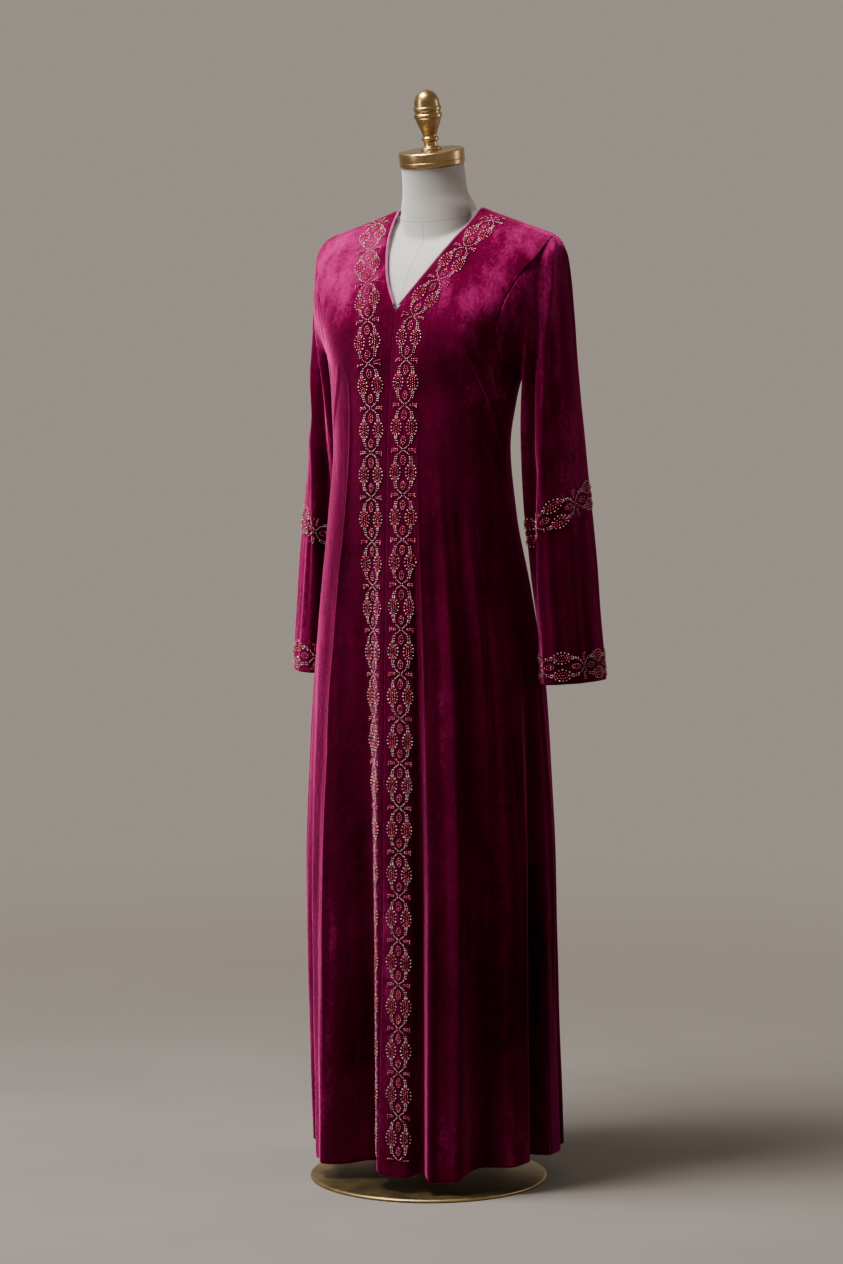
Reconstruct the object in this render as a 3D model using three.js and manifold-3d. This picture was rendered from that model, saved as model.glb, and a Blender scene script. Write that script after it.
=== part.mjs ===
// A full-length velvet kaftan worn on a limbless dress form with a round metal base.
// Millimetres, +Z up, origin at the centre of the base plate's underside.
// The garment's front faces -Y, the wearer's left is +X.
import * as THREE from 'three';
import { mergeVertices } from 'three/addons/utils/BufferGeometryUtils.js';
import Module from 'manifold-3d';

const wasm = await Module();
wasm.setup();

// ---- driving sizes -------------------------------------------------------
const wall = 2; // thickness of the velvet with its backing
const seamGap = 0.3; // space between two pieces at a seam
const hemHeight = 26; // lowest line of the hem above the floor
const underarmHeight = 1195;
const shoulderTip = { z: 1382 };
const neckPoint = { x: 71, z: 1424 };
const vTip = { z: 1275 };
const backNeck = { z: 1411 };
const armholeTurnFront = 40; // how far the armhole bites into the front, degrees of the section
const armholeTurnBack = 33;
const slitTop = 400; // below this the left front laps over the right front
const slitLap = 2.5; // degrees of lap at the hem

const baseRadius = 175;
const baseThickness = 5;
const poleRadius = 15;
const torsoBottom = 770;
const neckTilt = THREE.MathUtils.degToRad(11); // the neck and its cap lean forward
const neckTop = { y: 10.5, z: 1487.5 };
const capRadius = 47.8;
const capThickness = 21;

const yokeRows = 11; // rows from underarm to shoulder seam
const vTipRow = 3; // yoke row on which the V of the neck starts
const frontColumns = 30;
const backColumns = 20; // half of the back
const backNeckColumns = 7;
const sleeveRings = 13;

// Horizontal sections of the garment without its folds. side is the Y of the side and shoulder seams.
const sections = [
  { z: 20, width: 191, side: 28, front: -135, back: 190, square: 2.2 },
  { z: 400, width: 193, side: 4, front: -132.5, back: 151, square: 2.2 },
  { z: 723, width: 177.5, side: 0, front: -129.5, back: 137, square: 2.2 },
  { z: 870, width: 160, side: -10, front: -126, back: 109, square: 2.2 },
  { z: 986, width: 143, side: -19, front: -122.5, back: 82, square: 2.2 },
  { z: 1080, width: 135, side: -19, front: -120.5, back: 69, square: 2.2 },
  { z: 1150, width: 142.5, side: -9, front: -118, back: 72, square: 2.2 },
  { z: 1195, width: 150, side: 3, front: -115, back: 80, square: 2.3 },
  { z: 1240, width: 167, side: 14, front: -107, back: 85, square: 2.4 },
  { z: 1275, width: 184, side: 22, front: -97, back: 89, square: 2.5 },
  { z: 1300, width: 193, side: 28, front: -85, back: 91, square: 2.5 },
  { z: 1320, width: 199, side: 31, front: -73.5, back: 91.5, square: 2.5 },
  { z: 1350, width: 202, side: 35, front: -51, back: 91, square: 2.6 },
  { z: 1370, width: 196, side: 37, front: -33, back: 89, square: 2.7 },
  { z: 1382, width: 187, side: 38, front: -21, back: 87, square: 2.8 },
  { z: 1400, width: 139, side: 37, front: 1, back: 83, square: 2.8 },
  { z: 1411, width: 107, side: 36, front: 13, back: 77, square: 2.7 },
  { z: 1424, width: 71, side: 35, front: 24, back: 58, square: 2.4 },
];

// Half width of the neck opening in front, at heights from the point of the V to the shoulder seam.
const neckline = [
  { z: 1275, x: 0 },
  { z: 1300, x: 17 },
  { z: 1320, x: 29 },
  { z: 1350, x: 44 },
  { z: 1382, x: 58.5 },
  { z: 1405, x: 67 },
  { z: 1424, x: 71 },
];

// Folds that hang from a start height and deepen to the hem. Angles are degrees round from centre front,
// positive to the wearer's left; depth is outward.
const folds = [
  { angle: -13, startAngle: -11, spread: 10, depth: -26, start: 1120 },
  { angle: -20, startAngle: -15, spread: 17, depth: -42, start: 1060 },
  { angle: -34, startAngle: -30, spread: 8, depth: 8, start: 1180 },
  { angle: -57, startAngle: -58, spread: 12, depth: -24, start: 860 },
  { angle: -84, startAngle: -80, spread: 13, depth: -18, start: 700 },
  { angle: -113, startAngle: -108, spread: 14, depth: -26, start: 900 },
  { angle: -140, startAngle: -144, spread: 11, depth: -20, start: 760 },
  { angle: -168, startAngle: -165, spread: 13, depth: -28, start: 960 },
  { angle: 163, startAngle: 167, spread: 12, depth: -22, start: 820 },
  { angle: 135, startAngle: 138, spread: 12, depth: -25, start: 930 },
  { angle: 112, startAngle: 110, spread: 10, depth: -18, start: 700 },
  { angle: 81, startAngle: 81, spread: 10, depth: -42, start: 860 },
  { angle: 48, startAngle: 46, spread: 16, depth: -42, start: 960 },
  { angle: 36, startAngle: 34, spread: 6, depth: 7, start: 1100 },
  { angle: 22, startAngle: 22, spread: 4.5, depth: 8, start: 1000 },
  { angle: 17.5, startAngle: 17.5, spread: 5, depth: -26, start: 960 },
  { angle: 11, startAngle: 9, spread: 6, depth: 3, start: 1000 },
];
const rightEdgeFold = { angle: 0, startAngle: 0, spread: 14, depth: -9, start: 560 };

// The hem is a little higher where the skirt swings back.
const hemRise = [
  { angle: -180, rise: 8 },
  { angle: -110, rise: 7 },
  { angle: -60, rise: 15 },
  { angle: -46, rise: 3 },
  { angle: -30, rise: 0 },
  { angle: -20, rise: 6 },
  { angle: -10, rise: 2 },
  { angle: 8, rise: 0 },
  { angle: 19, rise: 3 },
  { angle: 24, rise: -4 },
  { angle: 40, rise: 3 },
  { angle: 58, rise: 13 },
  { angle: 80, rise: 20 },
  { angle: 120, rise: 18 },
  { angle: 180, rise: 8 },
];

// Soft fullness over the figure: a bump round a centre, in degrees and height.
const fullness = [
  { angle: 30, z: 1222, spread: 30, height: 85, depth: 6 },
  { angle: -30, z: 1222, spread: 30, height: 85, depth: 6 },
  { angle: 0, z: 1180, spread: 20, height: 120, depth: -4 },
];

// Rings of a sleeve from the armhole to the cuff, each given by its outer and inner point,
// the Y of its middle and its half depth along Y.
const sleeveSections = [
  { outX: 187, outZ: 1382, inX: 151, inZ: 1195, y: 18, depth: 53 },
  { outX: 197, outZ: 1364, inX: 154, inZ: 1187, y: 24, depth: 57 },
  { outX: 201, outZ: 1330, inX: 154, inZ: 1170, y: 32, depth: 61 },
  { outX: 203, outZ: 1285, inX: 150, inZ: 1145, y: 38, depth: 64 },
  { outX: 205, outZ: 1230, inX: 145, inZ: 1112, y: 43, depth: 66 },
  { outX: 210, outZ: 1165, inX: 142, inZ: 1075, y: 47, depth: 67 },
  { outX: 217, outZ: 1100, inX: 141, inZ: 1035, y: 50, depth: 67 },
  { outX: 224, outZ: 1035, inX: 142, inZ: 990, y: 52, depth: 66 },
  { outX: 231, outZ: 970, inX: 147, inZ: 940, y: 54, depth: 66 },
  { outX: 237, outZ: 905, inX: 152, inZ: 885, y: 55, depth: 67 },
  { outX: 241, outZ: 845, inX: 158, inZ: 832, y: 56, depth: 68 },
  { outX: 246, outZ: 790, inX: 163, inZ: 782, y: 57, depth: 69 },
  { outX: 250, outZ: 742, inX: 167, inZ: 737, y: 58, depth: 70 },
];
const sleeveClearance = 3; // space kept between the sleeve and the garment's side
// Creases of the sleeves: turn round the sleeve and ring along it; side 0 is both, -1 the right one only.
const sleeveCreases = [
  { turn: 95, ring: 6.5, spread: 40, length: 0.6, depth: -4, side: 0 },
  { turn: 60, ring: 5.4, spread: 34, length: 0.5, depth: -3, side: 0 },
  { turn: -100, ring: 5.2, spread: 45, length: 0.7, depth: -4, side: 0 },
  { turn: 35, ring: 10, spread: 16, length: 2.6, depth: 2.5, side: 0 },
  { turn: 62, ring: 10.5, spread: 15, length: 2.4, depth: -3, side: 0 },
  { turn: -50, ring: 10, spread: 20, length: 2.8, depth: -3, side: 0 },
  { turn: 0, ring: 2.4, spread: 85, length: 1.2, depth: -9, side: -1 },
];

// Sections of the covered form, with the same columns as the garment's.
const formSections = [
  { z: 770, width: 112, side: 12, front: -66, back: 88, square: 2.2 },
  { z: 778, width: 126, side: 12, front: -78, back: 100, square: 2.2 },
  { z: 800, width: 137, side: 11, front: -86, back: 100, square: 2.2 },
  { z: 880, width: 141, side: 6, front: -90, back: 96, square: 2.2 },
  { z: 980, width: 127, side: -6, front: -90, back: 70, square: 2.1 },
  { z: 1075, width: 112, side: -12, front: -90, back: 58, square: 2.1 },
  { z: 1150, width: 122, side: -8, front: -96, back: 62, square: 2.2 },
  { z: 1228, width: 142, side: 6, front: -97, back: 76, square: 2.3 },
  { z: 1275, width: 156, side: 18, front: -87, back: 83, square: 2.4 },
  { z: 1320, width: 167, side: 29, front: -66, back: 85, square: 2.5 },
  { z: 1350, width: 175, side: 34, front: -44, back: 84, square: 2.6 },
];
const shoulderDrop = 2.85; // the form's shoulder lies this far under the outside of the cloth
const formInset = 10; // and this far inside it at centre front and back
const formShoulderSquare = 2.1;
// The form's shoulder dips under the neck binding and runs on up into its neck.
const trapeziusSections = [
  { z: 1416.5, width: 73, side: 35, front: 23, back: 54, square: 2 },
  { z: 1419.5, width: 63, side: 34, front: 19, back: 54, square: 2 },
  { z: 1432, width: 57, side: 32, front: 14, back: 52, square: 2 },
  { z: 1446, width: 49, side: 26, front: 4, back: 46, square: 2 },
];
const neckSections = [
  { z: 1330, width: 50, y: 30, depth: 40 },
  { z: 1395, width: 56, y: 26, depth: 43 },
  { z: 1424, width: 55, y: 23, depth: 44.5 },
  { z: 1445, width: 50, y: 19, depth: 44.5 },
  { z: 1465, width: 47.5, y: 15, depth: 45 },
];

const finialProfile = [
  { r: 15, h: 0 },
  { r: 15, h: 3 },
  { r: 10, h: 6 },
  { r: 9.6, h: 12 },
  { r: 12.4, h: 14.5 },
  { r: 12.4, h: 17.5 },
  { r: 10.2, h: 20 },
  { r: 12.2, h: 27 },
  { r: 16.6, h: 38 },
  { r: 19.4, h: 46 },
  { r: 20.7, h: 48 },
  { r: 20.7, h: 51.5 },
  { r: 18.8, h: 53.5 },
  { r: 18.8, h: 56 },
  { r: 20.2, h: 58 },
  { r: 20.2, h: 61.5 },
  { r: 18.9, h: 63.5 },
  { r: 18.2, h: 70 },
  { r: 15.4, h: 77.5 },
  { r: 10, h: 83.5 },
  { r: 4, h: 86.5 },
];

// ---- small helpers -------------------------------------------------------
const degrees = THREE.MathUtils.degToRad;
const mix = THREE.MathUtils.lerp;

// A smooth curve through one column of a table, with no overshoot between its rows.
function curveOf(rows, key, column) {
  const at = rows.map((row) => row[key]);
  const value = rows.map((row) => row[column]);
  const step = at.slice(1).map((t, i) => (value[i + 1] - value[i]) / (t - at[i]));
  const slope = value.map((v, i) => {
    if (i === 0) return step[0];
    if (i === step.length) return step[i - 1];
    const product = step[i - 1] * step[i];
    return product <= 0 ? 0 : (2 * product) / (step[i - 1] + step[i]);
  });
  return (t) => {
    let i = 0;
    while (i < step.length - 1 && t > at[i + 1]) i += 1;
    const gap = at[i + 1] - at[i];
    const u = Math.min(Math.max((t - at[i]) / gap, -1), 2);
    if (u < 0) return value[i] + slope[i] * gap * u;
    if (u > 1) return value[i + 1] + slope[i + 1] * gap * (u - 1);
    const rise = u * u * (3 - 2 * u);
    const lead = u * (1 - u) * (1 - u) * slope[i] * gap;
    const tail = u * u * (1 - u) * slope[i + 1] * gap;
    return mix(value[i], value[i + 1], rise) + lead - tail;
  };
}

function curvesOf(rows, key, columns) {
  return Object.fromEntries(columns.map((column) => [column, curveOf(rows, key, column)]));
}

// A rounded bump: 1 at the middle, 0 from one spread away.
function bump(distance) {
  return Math.abs(distance) < 1 ? Math.cos((distance * Math.PI) / 2) ** 2 : 0;
}

function turnBetween(a, b) {
  return ((((a - b + 180) % 360) + 360) % 360) - 180;
}

// Point of a rounded section at an angle from centre front.
function sectionPoint(angle, z, { width, side, front, back, square }) {
  const across = Math.sin(degrees(angle));
  const ahead = Math.cos(degrees(angle));
  const reach = (Math.abs(across) ** square + Math.abs(ahead) ** square) ** (-1 / square);
  const depth = ahead > 0 ? side - front : back - side;
  return new THREE.Vector3(width * across * reach, side - depth * ahead * reach, z);
}

const sectionColumns = ['width', 'side', 'front', 'back', 'square'];
const garmentCurves = curvesOf(sections, 'z', sectionColumns);
const hemRiseAt = curveOf(hemRise, 'angle', 'rise');

function garmentSection(z) {
  return Object.fromEntries(sectionColumns.map((column) => [column, garmentCurves[column](z)]));
}

function foldStrength(fold, angle, z) {
  const fall = Math.max((fold.start - z) / (fold.start - hemHeight), 0);
  const centre = mix(fold.startAngle, fold.angle, Math.min(fall, 1));
  return { fall, near: bump(turnBetween(angle, centre) / fold.spread) };
}

// How far folds and fullness push the cloth out of its plain section.
function push(angle, z, foldList) {
  let sum = 0;
  for (const fold of foldList) {
    const { fall, near } = foldStrength(fold, angle, z);
    sum += fold.depth * fall ** 1.15 * near;
  }
  for (const soft of fullness) {
    sum += soft.depth * bump(turnBetween(angle, soft.angle) / soft.spread) * bump((z - soft.z) / soft.height);
  }
  return sum;
}

// The outside of the garment.
function garmentPoint(angle, z, foldList) {
  const point = sectionPoint(angle, z, garmentSection(z));
  const amount = push(angle, z, foldList);
  point.x += amount * Math.sin(degrees(angle));
  point.y -= amount * Math.cos(degrees(angle));
  return point;
}

function hemLine(angle) {
  return hemHeight + hemRiseAt(turnBetween(angle, 0));
}

// Outward normal of a surface given as a function of angle and height.
function garmentNormal(angle, z, foldList) {
  const round = garmentPoint(angle + 0.5, z, foldList).sub(garmentPoint(angle - 0.5, z, foldList));
  const rise = garmentPoint(angle, z + 1, foldList).sub(garmentPoint(angle, z - 1, foldList));
  return round.cross(rise).normalize();
}

// Angle at which the garment's plain section has a given X, in front.
function angleAtWidth(x, z) {
  let low = 0;
  let high = 90;
  for (let i = 0; i < 40; i += 1) {
    const middle = (low + high) / 2;
    if (sectionPoint(middle, z, garmentSection(z)).x < x) low = middle;
    else high = middle;
  }
  return (low + high) / 2;
}

// The armhole, from the underarm (0) over front or back to the shoulder tip (1).
function armhole(v, isFront) {
  const bulge = Math.sin(Math.PI * v) ** 0.75;
  const turn = isFront ? -armholeTurnFront : armholeTurnBack;
  const z = mix(underarmHeight, shoulderTip.z, (1 - Math.cos(Math.PI * v)) / 2);
  return { angle: 90 + turn * bulge, z };
}

const neckWidth = curveOf(neckline, 'z', 'x');

// Centre front up to the V, then the neck edge to the shoulder seam.
function frontEdge(v) {
  const tip = vTipRow / yokeRows;
  if (v <= tip) return { angle: 0, z: mix(underarmHeight, vTip.z, v / tip) };
  const z = mix(vTip.z, neckPoint.z, (v - tip) / (1 - tip));
  return { angle: angleAtWidth(neckWidth(z), z), z };
}

function shoulderSeam(u) {
  return { angle: 90, z: mix(neckPoint.z, shoulderTip.z, u) };
}

// Top edge of half the back: neck edge, then shoulder seam.
function backTop(u) {
  const corner = backNeckColumns / backColumns;
  if (u > corner) return shoulderSeam((u - corner) / (1 - corner));
  const along = u / corner;
  return { angle: mix(180, 90, along ** 1.25), z: mix(backNeck.z, neckPoint.z, along ** 1.6) };
}

// Fills a patch between four edges, in angle and height.
function patch(u, v, bottom, top, left, right) {
  const [b, t, l, r] = [bottom(u), top(u), left(v), right(v)];
  const corners = [bottom(0), bottom(1), top(0), top(1)];
  const weight = [(1 - u) * (1 - v), u * (1 - v), (1 - u) * v, u * v];
  const out = {};
  for (const key of ['angle', 'z']) {
    const held = corners.reduce((sum, corner, i) => sum + corner[key] * weight[i], 0);
    out[key] = mix(b[key], t[key], v) + mix(l[key], r[key], u) - held;
  }
  return out;
}

// ---- closed solids from grids of points ----------------------------------
// outer and inner are rows of points; round closes each row on itself, cap closes the ends with a fan.
function solidFromGrid(outer, inner, round) {
  const rows = outer.length;
  const columns = outer[0].length;
  const points = [...outer.flat(), ...inner.flat()];
  const index = [];
  const at = (layer, row, column) => layer * rows * columns + row * columns + (column % columns);
  // A quad is split along its shorter diagonal, measured on the outside so that both layers match.
  const outside = (i) => points[i % (rows * columns)];
  const quad = (a, b, c, d) => {
    const first = outside(a).distanceTo(outside(c)) <= outside(b).distanceTo(outside(d));
    index.push(...(first ? [a, b, c, a, c, d] : [a, b, d, b, c, d]));
  };
  const lastColumn = round ? columns : columns - 1;
  for (let row = 0; row < rows - 1; row += 1) {
    for (let column = 0; column < lastColumn; column += 1) {
      quad(at(0, row, column), at(0, row, column + 1), at(0, row + 1, column + 1), at(0, row + 1, column));
      quad(at(1, row, column), at(1, row + 1, column), at(1, row + 1, column + 1), at(1, row, column + 1));
    }
  }
  for (let column = 0; column < lastColumn; column += 1) {
    quad(at(1, 0, column), at(1, 0, column + 1), at(0, 0, column + 1), at(0, 0, column));
    const top = rows - 1;
    quad(at(0, top, column), at(0, top, column + 1), at(1, top, column + 1), at(1, top, column));
  }
  if (!round) {
    const last = columns - 1;
    for (let row = 0; row < rows - 1; row += 1) {
      quad(at(0, row, 0), at(0, row + 1, 0), at(1, row + 1, 0), at(1, row, 0));
      quad(at(1, row, last), at(1, row + 1, last), at(0, row + 1, last), at(0, row, last));
    }
  }
  return orient(points, index);
}

// A closed loft: rings of points with both ends filled by a fan to their middle.
function solidFromRings(rings) {
  const count = rings[0].length;
  const points = rings.flat();
  const index = [];
  for (let ring = 0; ring < rings.length - 1; ring += 1) {
    for (let i = 0; i < count; i += 1) {
      const next = (i + 1) % count;
      const [a, b] = [ring * count + i, ring * count + next];
      const [c, d] = [(ring + 1) * count + next, (ring + 1) * count + i];
      index.push(a, b, c, a, c, d);
    }
  }
  for (const [ring, flip] of [[0, true], [rings.length - 1, false]]) {
    const middle = new THREE.Vector3();
    for (const point of rings[ring]) middle.addScaledVector(point, 1 / count);
    points.push(middle);
    for (let i = 0; i < count; i += 1) {
      const [a, b] = [ring * count + i, ring * count + ((i + 1) % count)];
      if (flip) index.push(points.length - 1, b, a);
      else index.push(points.length - 1, a, b);
    }
  }
  return orient(points, index);
}

// Makes the geometry, turned so that its faces point out.
function orient(points, index) {
  let volume = 0;
  for (let i = 0; i < index.length; i += 3) {
    const [a, b, c] = [points[index[i]], points[index[i + 1]], points[index[i + 2]]];
    volume += a.dot(b.clone().cross(c));
  }
  if (volume < 0) {
    for (let i = 0; i < index.length; i += 3) [index[i], index[i + 1]] = [index[i + 1], index[i]];
  }
  const geometry = new THREE.BufferGeometry();
  geometry.setAttribute('position', new THREE.Float32BufferAttribute(points.flatMap((p) => p.toArray()), 3));
  geometry.setIndex(index);
  return geometry;
}

function toManifold(geometry) {
  const bare = geometry.clone();
  bare.deleteAttribute('normal');
  bare.deleteAttribute('uv');
  const merged = mergeVertices(bare, 1e-4);
  const vertProperties = new Float32Array(merged.attributes.position.array);
  const triVerts = new Uint32Array(merged.index.array);
  return new wasm.Manifold(new wasm.Mesh({ numProp: 3, vertProperties, triVerts }));
}

function fromManifold(solid) {
  const { vertProperties, triVerts } = solid.getMesh();
  const geometry = new THREE.BufferGeometry();
  geometry.setAttribute('position', new THREE.BufferAttribute(vertProperties, 3));
  geometry.setIndex(new THREE.BufferAttribute(triVerts, 1));
  return geometry;
}

// ---- garment panels ------------------------------------------------------
const skirtHeights = [0, 0.06, 0.14, 0.24, 0.34, 0.44, 0.54, 0.63, 0.71, 0.78, 0.85, 0.925];

// A cloth panel from its grid of angles and heights. inset(row, column) moves an edge point back from its seam.
function panel(grid, foldList, inset) {
  const outer = [];
  const inner = [];
  grid.forEach((line, row) => {
    outer.push([]);
    inner.push([]);
    line.forEach(({ angle, z }, column) => {
      const point = garmentPoint(angle, z, foldList);
      const normal = garmentNormal(angle, z, foldList);
      const away = inset(row, column);
      if (away) {
        const round = garmentPoint(angle + 0.5, z, foldList).sub(garmentPoint(angle - 0.5, z, foldList));
        point.addScaledVector(round.normalize(), (away * seamGap) / 2);
      }
      outer[row].push(point);
      inner[row].push(point.clone().addScaledVector(normal, -wall));
    });
  });
  return solidFromGrid(outer, inner, false);
}

function frontGrid(sideSign, foldList) {
  const grid = [];
  for (const level of skirtHeights) {
    const line = [];
    for (let column = 0; column <= frontColumns; column += 1) {
      const z = mix(hemHeight, underarmHeight, level);
      const lap = sideSign > 0 ? slitLap * Math.max((slitTop - z) / (slitTop - hemHeight), 0) : 0;
      const angle = sideSign * mix(-lap, 90, column / frontColumns);
      line.push({ angle, z: mix(hemLine(angle), underarmHeight, level) });
    }
    grid.push(line);
  }
  for (let row = 0; row <= yokeRows; row += 1) {
    const line = [];
    for (let column = 0; column <= frontColumns; column += 1) {
      const place = patch(
        column / frontColumns,
        row / yokeRows,
        (u) => ({ angle: 90 * u, z: underarmHeight }),
        shoulderSeam,
        frontEdge,
        (v) => armhole(v, true),
      );
      line.push({ angle: sideSign * place.angle, z: place.z });
    }
    grid.push(line);
  }
  return grid;
}

const topRow = skirtHeights.length + yokeRows;

function frontPanel(sideSign) {
  const foldList = sideSign > 0 ? folds : [...folds, rightEdgeFold];
  return panel(frontGrid(sideSign, foldList), foldList, (row, column) => {
    if (column === frontColumns || row === topRow) return -sideSign;
    return column === 0 ? sideSign : 0;
  });
}

function backPanel() {
  const grid = [];
  const half = (column) => Math.abs(column) / backColumns;
  const turned = (column, angle) => (column < 0 ? angle : 360 - angle);
  for (const level of skirtHeights) {
    const line = [];
    for (let column = -backColumns; column <= backColumns; column += 1) {
      const angle = turned(column, mix(180, 90, half(column)));
      line.push({ angle, z: mix(hemLine(angle), underarmHeight, level) });
    }
    grid.push(line);
  }
  for (let row = 0; row <= yokeRows; row += 1) {
    const line = [];
    for (let column = -backColumns; column <= backColumns; column += 1) {
      const place = patch(
        half(column),
        row / yokeRows,
        (u) => ({ angle: mix(180, 90, u), z: underarmHeight }),
        backTop,
        (v) => ({ angle: 180, z: mix(underarmHeight, backNeck.z, v) }),
        (v) => armhole(v, false),
      );
      line.push({ angle: turned(column, place.angle), z: place.z });
    }
    grid.push(line);
  }
  return panel(grid, folds, (row, column) => {
    const fromCentre = column - backColumns;
    const onShoulder = row === topRow && Math.abs(fromCentre) >= backNeckColumns;
    if (Math.abs(fromCentre) < backColumns && !onShoulder) return 0;
    return -Math.sign(fromCentre);
  });
}

// ---- sleeves -------------------------------------------------------------
const sleeveColumns = ['outX', 'outZ', 'inX', 'inZ', 'y', 'depth'];
const sleeveRows = sleeveSections.map((row, ring) => ({ ...row, ring }));
const sleeveCurves = curvesOf(sleeveRows, 'ring', sleeveColumns);

function garmentXAt(y, z, sideSign) {
  let low = 0;
  let high = 180;
  for (let i = 0; i < 30; i += 1) {
    const middle = (low + high) / 2;
    if (garmentPoint(sideSign * middle, z, folds).y < y) low = middle;
    else high = middle;
  }
  return Math.abs(garmentPoint(sideSign * low, z, folds).x);
}

// Point of the wearer's left sleeve; turn is 0 outside, 90 in front, 180 at the underarm.
function sleevePoint(turn, ring, sideSign) {
  const row = Object.fromEntries(sleeveColumns.map((column) => [column, sleeveCurves[column](ring)]));
  const out = Math.cos(degrees(turn));
  const ahead = Math.sin(degrees(turn));
  const point = new THREE.Vector3(
    mix(row.inX, row.outX, (1 + out) / 2),
    row.y - row.depth * ahead,
    mix(row.inZ, row.outZ, (1 + out) / 2),
  );
  for (const crease of sleeveCreases) {
    if (crease.side !== 0 && crease.side !== sideSign) continue;
    const near = bump(turnBetween(turn, crease.turn) / crease.spread);
    const along = bump((ring - crease.ring) / (2 * crease.length));
    point.x += crease.depth * near * along * out;
    point.y -= crease.depth * near * along * ahead;
  }
  const hold = Math.max(1 - ring / 3, 0) ** 2;
  if (hold > 0) {
    const seam = armholePoint(turn);
    const plain = new THREE.Vector3(
      mix(sleeveSections[0].inX, sleeveSections[0].outX, (1 + out) / 2),
      sleeveSections[0].y - sleeveSections[0].depth * ahead,
      mix(sleeveSections[0].inZ, sleeveSections[0].outZ, (1 + out) / 2),
    );
    point.addScaledVector(seam.sub(plain), hold);
  }
  if (ring > 0 && out < 0) {
    const clear = garmentXAt(point.y, point.z, sideSign) + sleeveClearance * Math.min(ring, 1);
    if (point.z < underarmHeight) point.x = Math.max(point.x, clear);
  }
  return point;
}

function armholePoint(turn) {
  const isFront = turn >= 0 && turn <= 180;
  const v = 1 - Math.abs(turnBetween(turn, 0)) / 180;
  const place = armhole(v, isFront);
  return garmentPoint(place.angle, place.z, []);
}

function sleeve(sideSign) {
  const outer = [];
  const inner = [];
  const around = 2 * yokeRows;
  for (let ring = 0; ring < sleeveRings; ring += 1) {
    outer.push([]);
    inner.push([]);
    for (let i = 0; i < around; i += 1) {
      const turn = (360 * i) / around;
      const point = sleevePoint(turn, ring, sideSign);
      let normal = new THREE.Vector3(0, -Math.sin(degrees(turn)), Math.cos(degrees(turn)));
      if (ring > 0) {
        const round = sleevePoint(turn + 4, ring, sideSign).sub(sleevePoint(turn - 4, ring, sideSign));
        const down = sleevePoint(turn, ring + 0.2, sideSign).sub(sleevePoint(turn, ring - 0.2, sideSign));
        normal = down.cross(round).normalize();
      } else {
        point.x += seamGap * 1.8;
        point.z += (seamGap * (1 - Math.cos(degrees(turn)))) / 2;
      }
      outer[ring].push(point);
      inner[ring].push(point.clone().addScaledVector(normal, -wall));
    }
  }
  for (const layer of [outer, inner]) {
    for (const point of layer.flat()) point.x *= sideSign;
  }
  return solidFromGrid(outer, inner, true);
}

// ---- neck binding --------------------------------------------------------
const bindingHalf = 1.9; // half the thickness of the rolled edge
const bindingGap = 0.3;
const bindingSides = 6;

// The rolled edge from the V up one side, round the back neck and down to the V again.
function neckBinding() {
  const route = [];
  const edge = (place, sign, foldList) => {
    const angle = sign * place.angle;
    return { point: garmentPoint(angle, place.z, foldList), normal: garmentNormal(angle, place.z, foldList) };
  };
  const frontCount = yokeRows - vTipRow;
  for (let i = 0; i <= frontCount; i += 1) route.push(edge(frontEdge((vTipRow + i) / yokeRows), -1, folds));
  for (let i = backNeckColumns - 1; i > -backNeckColumns; i -= 1) {
    const place = backTop(Math.abs(i) / backColumns);
    route.push(edge(place, i > 0 ? -1 : 1, folds));
  }
  for (let i = frontCount; i >= 0; i -= 1) route.push(edge(frontEdge((vTipRow + i) / yokeRows), 1, folds));
  const rings = route.map(({ point, normal }, i) => {
    const before = route[Math.max(i - 1, 0)].point;
    const after = route[Math.min(i + 1, route.length - 1)].point;
    const along = after.clone().sub(before).normalize();
    const inward = normal.clone().cross(along).normalize();
    const upToNeck = inward.dot(new THREE.Vector3(0, 0, 1)) < 0 ? inward.negate() : inward;
    const middle = point.clone();
    middle.addScaledVector(upToNeck, bindingHalf + bindingGap).addScaledVector(normal, -wall / 2);
    if (i === 0 || i === route.length - 1) {
      const side = Math.sign(after.x + before.x);
      const clear = (bindingHalf + 0.6) * side - middle.x; // the two ends stop just short of each other
      middle.addScaledVector(along, clear / along.x);
    }
    const ring = [];
    for (let k = 0; k < bindingSides; k += 1) {
      const turn = (2 * Math.PI * k) / bindingSides;
      const offset = upToNeck.clone().multiplyScalar(bindingHalf * Math.cos(turn));
      offset.addScaledVector(normal, bindingHalf * Math.sin(turn));
      ring.push(middle.clone().add(offset));
    }
    return ring;
  });
  return solidFromRings(rings);
}

// ---- dress form ----------------------------------------------------------
const formSides = 32;

function formRows() {
  const shoulder = sections
    .filter((row) => row.z >= shoulderTip.z && row.z < neckPoint.z)
    .map((row) => ({
      ...row,
      z: row.z - shoulderDrop,
      front: row.front + formInset,
      back: row.back - formInset,
      square: formShoulderSquare,
    }));
  return [...formSections, ...shoulder, ...trapeziusSections];
}

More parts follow.
